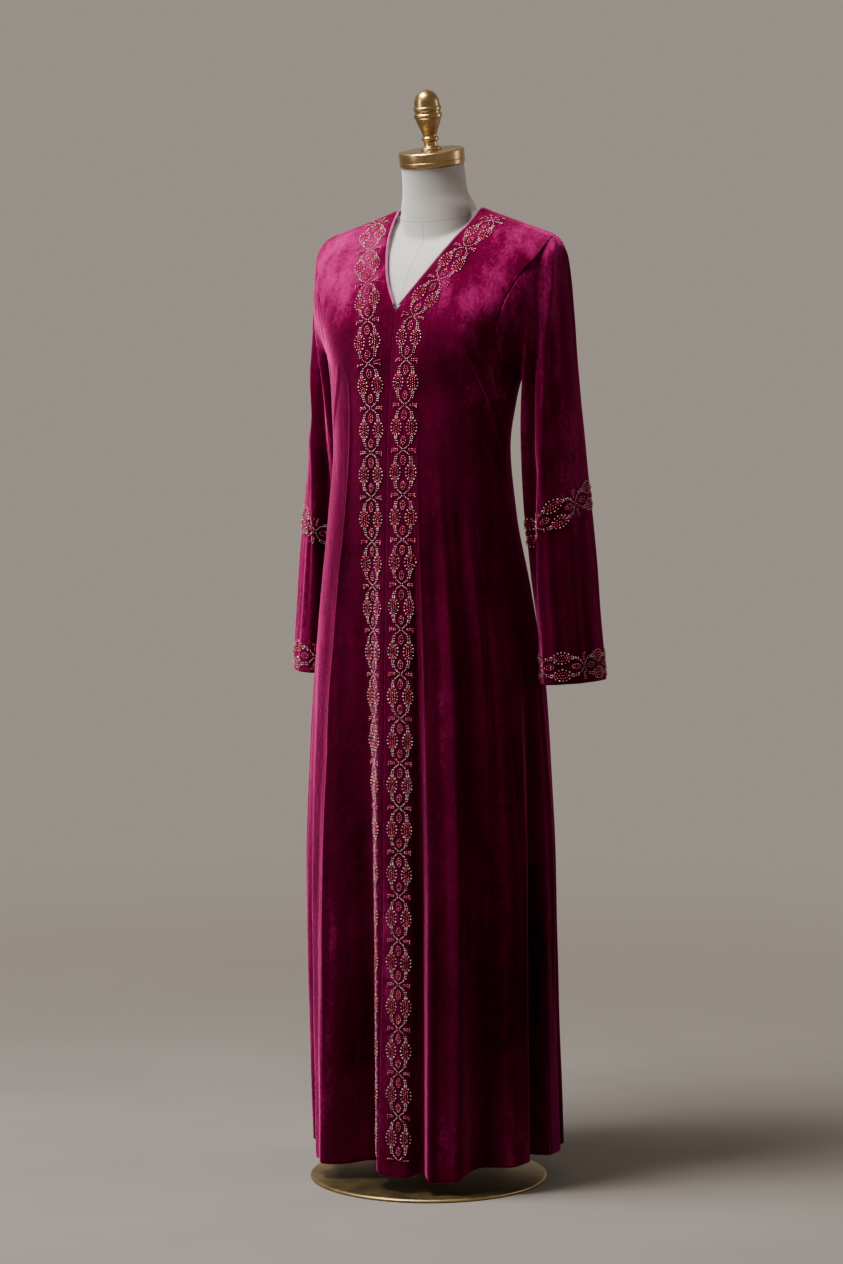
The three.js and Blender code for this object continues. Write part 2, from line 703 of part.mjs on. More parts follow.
function formTorso() {
  const torsoRings = formRows().map((row) => {
    const ring = [];
    for (let i = 0; i < formSides; i += 1) ring.push(sectionPoint((360 * i) / formSides, row.z, row));
    return ring;
  });
  const capCentre = new THREE.Vector3(0, neckTop.y, neckTop.z);
  const neckRings = neckSections.map((row) => {
    const ring = [];
    for (let i = 0; i < formSides; i += 1) {
      const turn = (2 * Math.PI * i) / formSides;
      ring.push(new THREE.Vector3(row.width * Math.sin(turn), row.y - row.depth * Math.cos(turn), row.z));
    }
    return ring;
  });
  const topRing = [];
  for (let i = 0; i < formSides; i += 1) {
    const turn = (2 * Math.PI * i) / formSides;
    const rim = new THREE.Vector3(capRadius * 0.97 * Math.sin(turn), -capRadius * 0.97 * Math.cos(turn), 0);
    topRing.push(rim.applyAxisAngle(new THREE.Vector3(1, 0, 0), neckTilt).add(capCentre));
  }
  neckRings.push(topRing);
  return fromManifold(toManifold(solidFromRings(torsoRings)).add(toManifold(solidFromRings(neckRings))));
}

// A turned piece with its profile given as radius and height, closed on its axis and stood along +Z.
function turned(profile, segments) {
  const line = profile.map(({ r, h }) => new THREE.Vector2(r, h));
  line.unshift(new THREE.Vector2(0, profile[0].h));
  line.push(new THREE.Vector2(0, profile[profile.length - 1].h));
  return new THREE.LatheGeometry(line, segments).rotateX(Math.PI / 2);
}

function onNeck(geometry, lift) {
  geometry.translate(0, 0, lift).rotateX(neckTilt).translate(0, neckTop.y, neckTop.z);
  return geometry;
}

function neckCap() {
  const profile = [
    { r: capRadius - 1.2, h: 0 },
    { r: capRadius, h: 1.2 },
    { r: capRadius, h: capThickness - 2 },
    { r: capRadius - 2, h: capThickness },
  ];
  return onNeck(turned(profile, 48), seamGap);
}

function finial() {
  return onNeck(turned(finialProfile, 24), seamGap * 2 + capThickness);
}

function pole() {
  const profile = [
    { r: poleRadius, h: baseThickness + seamGap },
    { r: poleRadius, h: torsoBottom - seamGap },
  ];
  return turned(profile, 24);
}

function basePlate() {
  const profile = [
    { r: baseRadius - 1.5, h: 0 },
    { r: baseRadius, h: 1.5 },
    { r: baseRadius, h: baseThickness - 2 },
    { r: baseRadius - 3, h: baseThickness },
  ];
  return turned(profile, 64);
}

// ---- the object ----------------------------------------------------------
const finish = {
  velvet: { color: 0x7a0a4a, roughness: 0.8, metalness: 0 },
  trim: { color: 0xb0457f, roughness: 0.75, metalness: 0 },
  cover: { color: 0xc2c0bd, roughness: 0.9, metalness: 0 },
  brass: { color: 0xb8924a, roughness: 0.3, metalness: 1 },
  agedBrass: { color: 0x7d6a3c, roughness: 0.4, metalness: 1 },
};

const group = new THREE.Group();

function addPart(name, geometry, material) {
  const mesh = new THREE.Mesh(geometry, new THREE.MeshStandardMaterial(material));
  mesh.name = name;
  group.add(mesh);
}

addPart('front_right', frontPanel(-1), finish.velvet);
addPart('front_left', frontPanel(1), finish.velvet);
addPart('back', backPanel(), finish.velvet);
addPart('sleeve_right', sleeve(-1), finish.velvet);
addPart('sleeve_left', sleeve(1), finish.velvet);
addPart('neck_binding', neckBinding(), finish.trim);
addPart('form_torso', formTorso(), finish.cover);
addPart('form_neck_cap', neckCap(), finish.brass);
addPart('form_finial', finial(), finish.brass);
addPart('form_pole', pole(), finish.agedBrass);
addPart('form_base', basePlate(), finish.agedBrass);

export default group;
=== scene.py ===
import math

import bmesh
import bpy
import numpy as np
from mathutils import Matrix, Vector


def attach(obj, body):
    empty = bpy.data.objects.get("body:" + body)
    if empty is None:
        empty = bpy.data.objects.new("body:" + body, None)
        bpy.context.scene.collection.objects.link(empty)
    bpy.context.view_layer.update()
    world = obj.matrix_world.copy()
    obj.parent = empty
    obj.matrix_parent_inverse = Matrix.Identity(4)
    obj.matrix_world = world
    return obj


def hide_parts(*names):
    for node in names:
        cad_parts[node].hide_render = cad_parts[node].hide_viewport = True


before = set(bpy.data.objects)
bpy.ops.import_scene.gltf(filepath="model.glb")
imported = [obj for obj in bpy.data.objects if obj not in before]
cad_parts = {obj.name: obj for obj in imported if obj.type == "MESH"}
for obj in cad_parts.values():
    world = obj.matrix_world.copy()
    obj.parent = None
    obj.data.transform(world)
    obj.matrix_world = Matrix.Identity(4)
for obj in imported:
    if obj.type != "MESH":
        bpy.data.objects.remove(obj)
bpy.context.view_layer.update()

# Shapes are worked out in millimetres and degrees, and turned to metres when a mesh is made.
# Angles run round from centre front, positive to the wearer's left. The front faces -Y.


# Rows of numbers under named columns.
def table(names, rows):
    return dict(zip(names.split(), np.array(rows, float).T))


# A cubic through the points of a table; each slope is the harmonic mean of its two neighbours, 0 at a turn.
def curveAt(t, at, value):
    step = np.diff(value) / np.diff(at)
    product = step[:-1] * step[1:]
    middle = np.where(product > 0, 2 * product / np.where(product > 0, step[:-1] + step[1:], 1), 0)
    slope = np.concatenate([step[:1], middle, step[-1:]])
    i = np.clip(np.searchsorted(at, t) - 1, 0, len(step) - 1)
    gap = at[i + 1] - at[i]
    u = np.clip((t - at[i]) / gap, -1, 2)
    inside = value[i] + (value[i + 1] - value[i]) * u * u * (3 - 2 * u)
    inside = inside + u * (1 - u) * gap * (slope[i] * (1 - u) - slope[i + 1] * u)
    before = value[i] + slope[i] * gap * u
    after = value[i + 1] + slope[i + 1] * gap * (u - 1)
    return np.where(u < 0, before, np.where(u > 1, after, inside))


# A table's other columns at given places along its first.
def rowAt(rows, at):
    first, *others = rows
    return {key: curveAt(at, rows[first], rows[key]) for key in others}


# The place up to which a test holds, between low and high, by halving.
def lastWhere(test, low, high, rounds):
    for _ in range(rounds):
        middle = (low + high) / 2
        holds = test(middle)
        low, high = np.where(holds, middle, low), np.where(holds, high, middle)
    return low


# Sine and cosine of degrees.
def sine(turn):
    return np.sin(np.radians(turn))


def cosine(turn):
    return np.cos(np.radians(turn))


# Cosine squared: 1 in the middle, 0 from a distance of 1.
def bump(distance):
    return np.where(np.abs(distance) < 1, np.cos(distance * np.pi / 2) ** 2, 0)


def mix(a, b, t):
    return a + (b - a) * t


def turnBetween(a, b):
    return (a - b + 180) % 360 - 180


def unit(vectors):
    return vectors / np.maximum(np.linalg.norm(vectors, axis=-1, keepdims=True), 1e-9)


# How a surface f(a, b) moves over two steps of a, and over two of b, round each (a, b).
def slopesOf(surface, a, b, stepA, stepB):
    return surface(a + stepA, b) - surface(a - stepA, b), surface(a, b + stepB) - surface(a, b - stepB)


def normalOf(surface, a, b, stepA, stepB):
    return unit(np.cross(*slopesOf(surface, a, b, stepA, stepB)))


# Moves (a, b) until the surface's point there is the nearest to each target, by Gauss-Newton steps.
def settle(surface, a, b, target, stepA, stepB):
    for _ in range(6):
        alongA, alongB = slopesOf(surface, a, b, stepA, stepB)
        alongA, alongB = alongA / (2 * stepA), alongB / (2 * stepB)
        miss = target - surface(a, b)
        aa = (alongA * alongA).sum(-1)
        ab = (alongA * alongB).sum(-1)
        bb = (alongB * alongB).sum(-1)
        ga = (alongA * miss).sum(-1)
        gb = (alongB * miss).sum(-1)
        spread = np.maximum(aa * bb - ab * ab, 1e-9)
        a = a + np.clip((bb * ga - ab * gb) / spread, -6 * stepA, 6 * stepA)
        b = b + np.clip((aa * gb - ab * ga) / spread, -12 * stepB, 12 * stepB)
    return a, b


# Quads of a grid of rows and columns; closed joins the last column to the first.
def gridFaces(rows, columns, closed=False):
    last = columns if closed else columns - 1
    row, column = np.meshgrid(np.arange(rows - 1), np.arange(last), indexing="ij")
    following = (column + 1) % columns
    corners = [row * columns + column, row * columns + following]
    corners += [(row + 1) * columns + following, (row + 1) * columns + column]
    return np.stack(corners, -1).reshape(-1, 4)


# Points in millimetres and faces, with a UV for each point where they are given.
def makeMesh(name, points, faces, finish, uv=None):
    mesh = bpy.data.meshes.new(name)
    mesh.from_pydata((points.reshape(-1, 3) / 1000).tolist(), [], faces.tolist())
    mesh.shade_smooth()
    if uv is not None:
        layer = mesh.uv_layers.new(name="UVMap")
        layer.data.foreach_set("uv", uv.reshape(-1, 2)[faces.ravel()].ravel())
    mesh.validate()
    piece = bpy.data.objects.new(name, mesh)
    bpy.context.scene.collection.objects.link(piece)
    mesh.materials.append(finish)
    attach(piece, "root")
    return piece


# Turns every face of a grid when they point inwards on the whole. inside is a point, or one for each face.
def facing(points, faces, inside):
    corners = points.reshape(-1, 3)[faces]
    normals = np.cross(corners[:, 2] - corners[:, 0], corners[:, 3] - corners[:, 1])
    outward = (normals * (corners.mean(1) - inside)).sum()
    return faces if outward > 0 else faces[:, ::-1]


# The garment's main heights, its wall, how far the armholes bite in and where the fronts lap.
garment = {
    "wall": 2,
    "hem": 26,
    "underarm": 1195,
    "shoulderTip": 1382,
    "neckPoint": 1424,
    "vTip": 1275,
    "backNeck": 1411,
    "armholeTurnFront": 40,
    "armholeTurnBack": 33,
    "slitTop": 400,
    "slitLap": 2.5,
}

sections = table("z width side front back square", [
    (20, 191, 28, -135, 190, 2.2),
    (400, 193, 4, -132.5, 151, 2.2),
    (723, 177.5, 0, -129.5, 137, 2.2),
    (870, 160, -10, -126, 109, 2.2),
    (986, 143, -19, -122.5, 82, 2.2),
    (1080, 135, -19, -120.5, 69, 2.2),
    (1150, 142.5, -9, -118, 72, 2.2),
    (1195, 150, 3, -115, 80, 2.3),
    (1240, 167, 14, -107, 85, 2.4),
    (1275, 184, 22, -97, 89, 2.5),
    (1300, 193, 28, -85, 91, 2.5),
    (1320, 199, 31, -73.5, 91.5, 2.5),
    (1350, 202, 35, -51, 91, 2.6),
    (1370, 196, 37, -33, 89, 2.7),
    (1382, 187, 38, -21, 87, 2.8),
    (1400, 139, 37, 1, 83, 2.8),
    (1411, 107, 36, 13, 77, 2.7),
    (1424, 71, 35, 24, 58, 2.4),
])

neckline = table("z x", [
    (1275, 0), (1300, 17), (1320, 29), (1350, 44), (1382, 58.5), (1405, 67), (1424, 71),
])

# Folds that hang from a start height and deepen to the hem; depth is outward.
folds = table("angle startAngle spread depth start", [
    (-13, -11, 10, -26, 1120),
    (-20, -15, 17, -42, 1060),
    (-34, -30, 8, 8, 1180),
    (-57, -58, 12, -24, 860),
    (-84, -80, 13, -18, 700),
    (-113, -108, 14, -26, 900),
    (-140, -144, 11, -20, 760),
    (-168, -165, 13, -28, 960),
    (163, 167, 12, -22, 820),
    (135, 138, 12, -25, 930),
    (112, 110, 10, -18, 700),
    (81, 81, 10, -42, 860),
    (48, 46, 16, -42, 960),
    (36, 34, 6, 7, 1100),
    (22, 22, 4.5, 8, 1000),
    (17.5, 17.5, 5, -26, 960),
    (11, 9, 6, 3, 1000),
])
rightEdgeFold = table("angle startAngle spread depth start", [(0, 0, 14, -9, 560)])
rightFolds = {key: np.append(folds[key], rightEdgeFold[key]) for key in folds}

hemRise = table("angle rise", [
    (-180, 8), (-110, 7), (-60, 15), (-46, 3), (-30, 0), (-20, 6), (-10, 2), (8, 0),
    (19, 3), (24, -4), (40, 3), (58, 13), (80, 20), (120, 18), (180, 8),
])

# Soft fullness over the figure: a bump round a centre.
fullness = table("angle z spread height depth", [
    (30, 1222, 30, 85, 6),
    (-30, 1222, 30, 85, 6),
    (0, 1180, 20, 120, -4),
])

# Pulls and creases, each a straight soft ridge (depth over 0) or trough from one place to another.
creases = table("angle z toAngle toZ width depth", [
    (33, 1232, 88, 1066, 8, 5.0),
    (30, 1205, 80, 1050, 14, -4.2),
    (40, 1245, 90, 1092, 7, 4.6),
    (37, 1238, 89, 1078, 8, -3.6),
    (47, 1250, 84, 1118, 9, -3.6),
    (22, 1170, 46, 1040, 10, -1.6),
    (-28, 1190, -33, 640, 5, 3.0),
    (-32, 760, -33, 60, 6, 3.2),
    (20.5, 1150, 21, 560, 3.5, 2.6),
    (16.5, 1120, 17, 540, 5, -2.6),
    (34, 1080, 36, 60, 10, 4.5),
    (28, 1040, 29, 120, 9, -2.6),
    (45, 1040, 47, 120, 14, -4.0),
    (55, 1010, 58, 420, 8, -2.2),
    (50, 990, 52, 520, 5, 1.8),
    (-34, 1200, -58, 1090, 9, 2.0),
    (-52, 1215, -66, 1110, 7, -1.8),
    (-64, 1230, -70, 1140, 6, 1.6),
    (40, 1330, 66, 1235, 12, -1.6),
    (-42, 1325, -64, 1240, 11, -1.5),
    (52, 1375, 70, 1290, 10, 1.4),
    (-54, 1372, -70, 1285, 10, 1.3),
    (110, 1290, 96, 1195, 10, 2.0),
    (-112, 1280, -98, 1190, 9, 1.9),
    (150, 1080, 118, 1020, 9, -1.8),
    (-148, 1090, -120, 1010, 10, -2.0),
    (172, 1050, 140, 985, 11, 1.7),
    (-176, 1040, -142, 990, 9, 1.5),
    (128, 1345, 148, 1250, 13, -1.7),
    (-126, 1340, -150, 1260, 12, -1.5),
    (64, 860, 70, 330, 9, -3.0),
    (98, 780, 101, 240, 10, 3.2),
    (-70, 820, -71, 300, 8, 2.6),
    (-97, 760, -99, 200, 9, -2.8),
    (148, 820, 150, 260, 9, 3.0),
    (-153, 780, -156, 220, 10, -3.0),
])


# x = width sin / r and y = side - depth cos / r, with r the superellipse (|sin|^n + |cos|^n)^(1/n).
def sectionPoint(angle, z, section):
    across, ahead = sine(angle), cosine(angle)
    square = section["square"]
    reach = (np.abs(across) ** square + np.abs(ahead) ** square) ** (-1 / square)
    depth = np.where(ahead > 0, section["side"] - section["front"], section["back"] - section["side"])
    x = section["width"] * across * reach
    return np.stack([x, section["side"] - depth * ahead * reach, z + 0 * angle], -1)


# Sum over the folds of depth * fall^1.15 * bump across the fold, with fall 0 at its start and 1 at the hem.
def foldPush(angle, z, foldList):
    total = np.zeros(np.broadcast(angle, z).shape)
    for turn, start, spread, depth, top in zip(*foldList.values()):
        fall = np.maximum((top - z) / (top - garment["hem"]), 0)
        centre = mix(start, turn, np.minimum(fall, 1))
        total = total + depth * fall**1.15 * bump(turnBetween(angle, centre) / spread)
    for turn, height, spread, reach, depth in zip(*fullness.values()):
        total = total + depth * bump(turnBetween(angle, turn) / spread) * bump((z - height) / reach)
    return total


# Along each crease sin(pi t)^0.7, across it a bump; with a slow unevenness of half a millimetre over all.
def creasePush(angle, z):
    perDegree = 2.7  # millimetres round the cloth in one degree
    total = 0.45 * np.sin(angle / 5.3 + z / 71) * np.sin(z / 47 - angle / 17 + 1.3)
    for turn, height, toTurn, toHeight, width, depth in zip(*creases.values()):
        alongX = (toTurn - turn) * perDegree
        alongZ = toHeight - height
        length = math.hypot(alongX, alongZ)
        offX = turnBetween(angle, turn) * perDegree
        offZ = z - height
        t = np.clip((offX * alongX + offZ * alongZ) / length**2, 0, 1)
        off = (offX * alongZ - offZ * alongX) / length
        total = total + depth * np.sin(np.pi * t) ** 0.7 * bump(off / width)
    return total


# The outside of the cloth: the section pushed out by folds and creases, straight away from the middle.
def cloth(foldList, creased=True):
    def surface(angle, z):
        point = sectionPoint(angle, z, rowAt(sections, z))
        amount = foldPush(angle, z, foldList)
        if creased:
            amount = amount + creasePush(angle, z)
        point[..., 0] += amount * sine(angle)
        point[..., 1] -= amount * cosine(angle)
        return point

    return surface


def hemLine(angle):
    return garment["hem"] + rowAt(hemRise, turnBetween(angle, 0))["rise"]


# Angle at which the plain section has a given x in front.
def angleAtWidth(x, z):
    section = rowAt(sections, z)
    return lastWhere(lambda angle: sectionPoint(angle, z, section)[..., 0] < x, 0 * z, 0 * z + 90, 30)


# From the underarm (0) over front or back to the shoulder tip (1): the angle bites in by turn * sin^0.75.
def armhole(v, isFront):
    turn = -garment["armholeTurnFront"] if isFront else garment["armholeTurnBack"]
    bulge = np.sin(np.pi * np.clip(v, 0, 1)) ** 0.75
    z = mix(garment["underarm"], garment["shoulderTip"], (1 - np.cos(np.pi * v)) / 2)
    return np.stack([90 + turn * bulge, z])


vShare = 3 / 11  # share of the yoke's height that lies below the V


def frontEdge(v):
    z = np.where(
        v <= vShare,
        mix(garment["underarm"], garment["vTip"], v / vShare),
        mix(garment["vTip"], garment["neckPoint"], (v - vShare) / (1 - vShare)),
    )
    x = np.maximum(rowAt(neckline, z)["x"], 0)
    return np.stack([np.where(v <= vShare, 0, angleAtWidth(x, z)), z])


def shoulderSeam(u):
    return np.stack([90 + 0 * u, mix(garment["neckPoint"], garment["shoulderTip"], u)])


neckShare = 7 / 20  # share of half the back's top that is neck edge


def backTop(u):
    along = np.clip(u / neckShare, 0, 1)
    seam = shoulderSeam(np.clip((u - neckShare) / (1 - neckShare), 0, 1))
    neck = [mix(180, 90, along**1.25), mix(garment["backNeck"], garment["neckPoint"], along**1.6)]
    return np.where(u > neckShare, seam, np.stack(neck))


# Coons patch: the two pairs of edges blended, less the four corners.
def patch(u, v, bottom, top, left, right):
    u, v = u[None, None, :], v[None, :, None]
    b, t = bottom(u[0, 0])[:, None, :], top(u[0, 0])[:, None, :]
    l, r = left(v[0, :, 0])[:, :, None], right(v[0, :, 0])[:, :, None]
    held = (1 - u) * (1 - v) * b[:, :, :1] + u * (1 - v) * b[:, :, -1:]
    held = held + (1 - u) * v * t[:, :, :1] + u * v * t[:, :, -1:]
    return mix(b, t, v) + mix(l, r, u) - held


# A socket whose + - * / and power add Math nodes, so shader maths reads as plain expressions.
class Value:
    def __init__(self, tree, socket):
        self.tree = tree
        self.socket = socket

    # Any node: its type, its settings, then the values or links of its sockets.
    def node(self, kind, settings=None, inputs=None, output=0):
        made = self.tree.nodes.new(kind)
        settings = dict(settings or {})
        stops = settings.pop("stops", None)
        for name, setting in settings.items():
            setattr(made, name, setting)
        if stops:
            ramp = made.color_ramp
            while len(ramp.elements) < len(stops):
                ramp.elements.new(0.5)
            for element, (place, colour) in zip(ramp.elements, stops):
                element.position = place
                element.color = (*colour, 1)
        for name, value in (inputs or {}).items():
            if isinstance(value, Value):
                self.tree.links.new(value.socket, made.inputs[name])
            else:
                made.inputs[name].default_value = value
        return Value(self.tree, made.outputs[output])

    def math(self, operation, first, second=0.0):
        return self.node("ShaderNodeMath", {"operation": operation}, {0: first, 1: second})

    # 0 below low, 1 above high, straight between.
    def between(self, low, high):
        sockets = {"Value": self, "From Min": low, "From Max": high}
        return self.node("ShaderNodeMapRange", {"clamp": True}, sockets)

    def near(self, width):
        return 1 - self.math("ABSOLUTE", self).between(0.0, width)

    def ramp(self, *stops):
        return self.node("ShaderNodeValToRGB", {"stops": stops}, {"Fac": self})

    # This colour towards another by a factor.
    def towards(self, colour, factor):
        return self.node("ShaderNodeMix", {"data_type": "RGBA"}, {0: factor, 6: self, 7: colour}, 2)


for sign, operation in (
    ("add", "ADD"), ("sub", "SUBTRACT"), ("mul", "MULTIPLY"), ("truediv", "DIVIDE"), ("pow", "POWER"),
):
    setattr(Value, f"__{sign}__", lambda self, other, kind=operation: self.math(kind, self, other))
    setattr(Value, f"__r{sign}__", lambda self, other, kind=operation: self.math(kind, other, self))


# A material with one Principled shader; sockets sets its plain numbers and colours.
class Finish:
    def __init__(self, name, **sockets):
        self.material = bpy.data.materials.new(name)
        self.material.use_nodes = True
        tree = self.material.node_tree
        self.shader = tree.nodes["Principled BSDF"]
        for socket, value in sockets.items():
            self.shader.inputs[socket.replace("_", " ")].default_value = value
        self.tree = tree
        start = Value(tree, None)
        self.place = start.node("ShaderNodeTexCoord", output="Object")
        split = start.node("ShaderNodeSeparateXYZ", inputs={0: self.place})
        self.x, self.y, self.z = (Value(tree, split.socket.node.outputs[i]) for i in range(3))

    def noise(self, scale, detail=3.0, stretch=(1, 1, 1), roughness=0.55, distortion=0.0):
        moved = self.place.node("ShaderNodeMapping", inputs={"Vector": self.place, "Scale": stretch})
        sockets = {"Vector": moved, "Scale": scale, "Detail": detail}
        sockets.update({"Roughness": roughness, "Distortion": distortion})
        return self.place.node("ShaderNodeTexNoise", inputs=sockets)

    def attribute(self, name):
        return self.place.node("ShaderNodeAttribute", {"attribute_name": name}, output="Fac")

    def link(self, socket, value):
        self.tree.links.new(value.socket, self.shader.inputs[socket])

    # Bumps one over another: pairs of height and depth in metres.
    def raise_(self, *pairs):
        normal = None
        for height, depth in pairs:
            sockets = {"Height": height, "Distance": depth, "Strength": 1.0}
            if normal:
                sockets["Normal"] = normal
            normal = self.place.node("ShaderNodeBump", inputs=sockets)
        self.link("Normal", normal)


velvetLook = {
    "deep": (0.006, 0.0001, 0.0010),
    "middle": (0.055, 0.0004, 0.0125),
    "bright": (0.27, 0.009, 0.100),
    # brushed: the palest pile, reached only where painted light adds to the marks
    "brushed": (0.48, 0.028, 0.24),
    "sheen": (1.0, 0.085, 0.40, 1),
    "markShare": 0.9,
    # painted light: the pile is made paler from the lower chest height to the upper, where light falls from
    # above
    "chest": (1.20, 1.32),
    "chestPaintedLight": 0.07,
    "ovalReach": 1.9,
    "ovalFray": 1.8,
}

# How the pile lies, from broad clouds to small flecks: a noise, the span of it that shows, how much paler it
# makes the pile and how deep it presses it, in metres.
velvetMarks = table("scale detail tall rough swirl low high weight depth", [
    (9, 5, 0.55, 0.6, 0.4, 0.34, 0.70, 0.20, 0.003),
    (24, 3, 0.07, 0.5, 0.15, 0.35, 0.68, 0.22, 0.0016),
    (60, 4, 0.6, 0.65, 0.6, 0.38, 0.72, 0.10, 0.0009),
    (240, 3, 0.7, 0.7, 0.0, 0.35, 0.7, 0.11, 0.0005),
])

# Soft ovals in metres: painted highlight, paler, on the chest and shoulders;
# painted shade, darker below 0, low on the skirt.
paintedLightOvals = table("x z wide high pale", [
    (-0.135, 1.352, 0.085, 0.075, 0.20),
    (-0.105, 1.290, 0.060, 0.055, 0.17),
    (0.150, 1.378, 0.080, 0.035, 0.10),
    (0.132, 1.325, 0.040, 0.070, 0.07),
    (0.102, 1.278, 0.050, 0.040, 0.10),
    (0.165, 0.360, 0.045, 0.340, -0.10),
    (-0.060, 0.300, 0.030, 0.300, -0.06),
])


# Silk velvet: dark pile with a bright sheen, faint upright bands and marks where the pile lies over, and a
# fine nap.
# Painted light too: chest and shoulders paler, ovals of painted highlight and shade. lift makes all of it
# paler.
def velvet(name, lift):
    look = velvetLook
    finish = Finish(
        name, Sheen_Weight=0.62, Sheen_Roughness=0.34, Sheen_Tint=look["sheen"], Specular_IOR_Level=0.0
    )
    marks, brushed = [], 0.0
    for scale, detail, tall, rough, swirl, low, high, weight, depth in zip(*velvetMarks.values()):
        mark = finish.noise(scale, detail, (1, 1, tall), rough, swirl)
        marks.append((mark, depth))
        brushed = mark.between(low, high) * weight + brushed
    # the chest term is painted light, paler where the light falls on the chest and shoulders
    tone = brushed * look["markShare"] + lift + finish.z.between(*look["chest"]) * look["chestPaintedLight"]
    fray = marks[0][0] * look["ovalFray"]
    # painted highlight and painted shade in soft ovals, each frayed by the broad marks
    for x, z, wide, high, pale in zip(*paintedLightOvals.values()):
        across, up = (finish.x - x) / wide, (finish.z - z) / high
        tone = tone + (look["ovalReach"] - across * across - up * up - fray).between(0.0, 1.0) * pale
    # The bright and brushed stops show chiefly where the painted light of the chest and ovals raises the
    # tone.
    stops = ((0.12, look["deep"]), (0.45, look["middle"]), (0.78, look["bright"]), (1.0, look["brushed"]))
    finish.link("Base Color", tone.ramp(*stops))
    finish.link("Roughness", 0.75 - 0.1 * brushed)
    finish.raise_(*marks, (finish.noise(1500, 2), 0.0002))
    return finish.material


print("making finishes")
velvetCloth = velvet("velvet", 0.11)
# The sleeves' velvet is a paler copy of the same cloth: painted light.
sleeveVelvetPaintedPaler = velvet("sleeveVelvetPaintedPaler", 0.16)


# The rolled edge is coloured paler and pinker than the velvet, with a paler sheen tint: a painted highlight
# along the roll.
def edgeVelvetPaintedHighlight():
    sheen = {"Sheen_Weight": 0.8, "Sheen_Roughness": 0.4, "Sheen_Tint": (1.0, 0.3, 0.6, 1)}
    finish = Finish("edgeVelvetPaintedHighlight", Specular_IOR_Level=0.3, **sheen)
    mottle = finish.noise(70, 3)
    finish.link("Base Color", mottle.ramp((0.3, (0.10, 0.010, 0.042)), (0.7, (0.22, 0.035, 0.11))))
    finish.link("Roughness", 0.7 + 0.1 * mottle)
    finish.raise_((finish.noise(900, 2), 0.0003))
    return finish.material


formLook = {
    "cloth": (0.315, 0.30, 0.284),
    "shade": (0.282, 0.27, 0.255),
    "seam": (0.20, 0.19, 0.18),
    "seamWidth": 0.0007,
    "neckSeamHeight": 1.4075,
    "neckSeamSlope": 0.26,
}


# Fine linen-like cover: a plain weave, soft mottling and two thin seams, down the front and round the neck.
def formCover():
    look = formLook
    finish = Finish("formCover", Sheen_Weight=0.25, Sheen_Roughness=0.5, Specular_IOR_Level=0.2)
    mottle = finish.noise(18, 5, (1, 1, 1), 0.6)
    weave = finish.noise(700, 2, (1, 1, 0.25)) + finish.noise(700, 2, (0.25, 0.25, 1))
    frontSeam = finish.x.near(look["seamWidth"]) * (0.0 - finish.y).between(-0.012, 0.0)
    overSeam = finish.z - look["neckSeamHeight"] - finish.y * look["neckSeamSlope"]
    neckSeam = overSeam.near(look["seamWidth"])
    belowNeck = (0.0 - overSeam).between(-0.0005, 0.0005)
    seam = neckSeam.math("MAXIMUM", neckSeam, frontSeam * belowNeck)
    colour = mottle.ramp((0.3, look["shade"]), (0.7, look["cloth"])).towards((*look["seam"], 1), seam * 0.75)
    finish.link("Base Color", colour)
    finish.link("Roughness", 0.85 + 0.1 * mottle)
    finish.raise_((1 - seam, 0.0006), (weave, 0.00012))
    return finish.material


# Brass: satin, with faint turning lines, cloudy tarnish and a darker bloom.
def brass(name, bright, dull, roughness):
    finish = Finish(name, Metallic=1.0)
    cloud = finish.noise(22, 5)
    lines = finish.noise(500, 2, (0.03, 0.03, 1))
    smudge = finish.noise(60, 3)
    finish.link("Base Color", (cloud * 0.7 + smudge * 0.3).ramp((0.3, dull), (0.68, bright)))
    finish.link("Roughness", roughness + 0.16 * cloud + 0.06 * lines)
    finish.raise_((lines, 0.00002), (smudge, 0.00008))
    return finish.material


# Glass beads: each bead's own tone comes from its attribute.
def beadFinish(name, dark, light, roughness):
    finish = Finish(name, Roughness=roughness, Coat_Weight=0.8, Coat_Roughness=0.08, Specular_IOR_Level=0.6)
    tone = finish.attribute("beadTone")
    finish.link("Base Color", tone.ramp((0.0, dark), (1.0, light)))
    return finish.material


edgeCloth = edgeVelvetPaintedHighlight()
coverCloth = formCover()
polishedBrass = brass("polishedBrass", (0.49, 0.335, 0.155), (0.24, 0.16, 0.067), 0.18)
agedBrass = brass("agedBrass", (0.42, 0.31, 0.14), (0.20, 0.14, 0.06), 0.26)
silverBeads = beadFinish("silverBeads", (0.11, 0.045, 0.058), (0.52, 0.28, 0.33), 0.24)
redBeads = beadFinish("redBeads", (0.075, 0.002, 0.010), (0.50, 0.018, 0.050), 0.2)
roseBeads = beadFinish("roseBeads", (0.11, 0.005, 0.020), (0.42, 0.026, 0.072), 0.22)

# How finely the cloth is divided, and how its edges are rounded.
panelGrid = {
    "frontColumns": 128,
    "backColumns": 176,
    "skirtRows": 168,
    "rowCrowding": 1.3,
    "yokeRows": 60,
    "edgeSteps": (0.0005, 0.0018, 0.004, 0.008),
    "edgeRound": 2.4,
    "edgeDrop": 1.1,
    "slopeSteps": (0.25, 0.8),
    "wall": garment["wall"] - 0.1,
    "inside": (0, 20, 900),
    "uvWidth": 0.16,
}


# Even steps from 0 to 1 with a few close ones at both ends, or at the start alone, where edges are rounded.
def steps(count, ends=True):
    close = np.array(panelGrid["edgeSteps"])
    middle = np.linspace(close[-1] * 2, 1 - close[-1] * 2 if ends else 1, count)
    return np.concatenate([close, middle, 1 - close[::-1]] if ends else [close, middle])


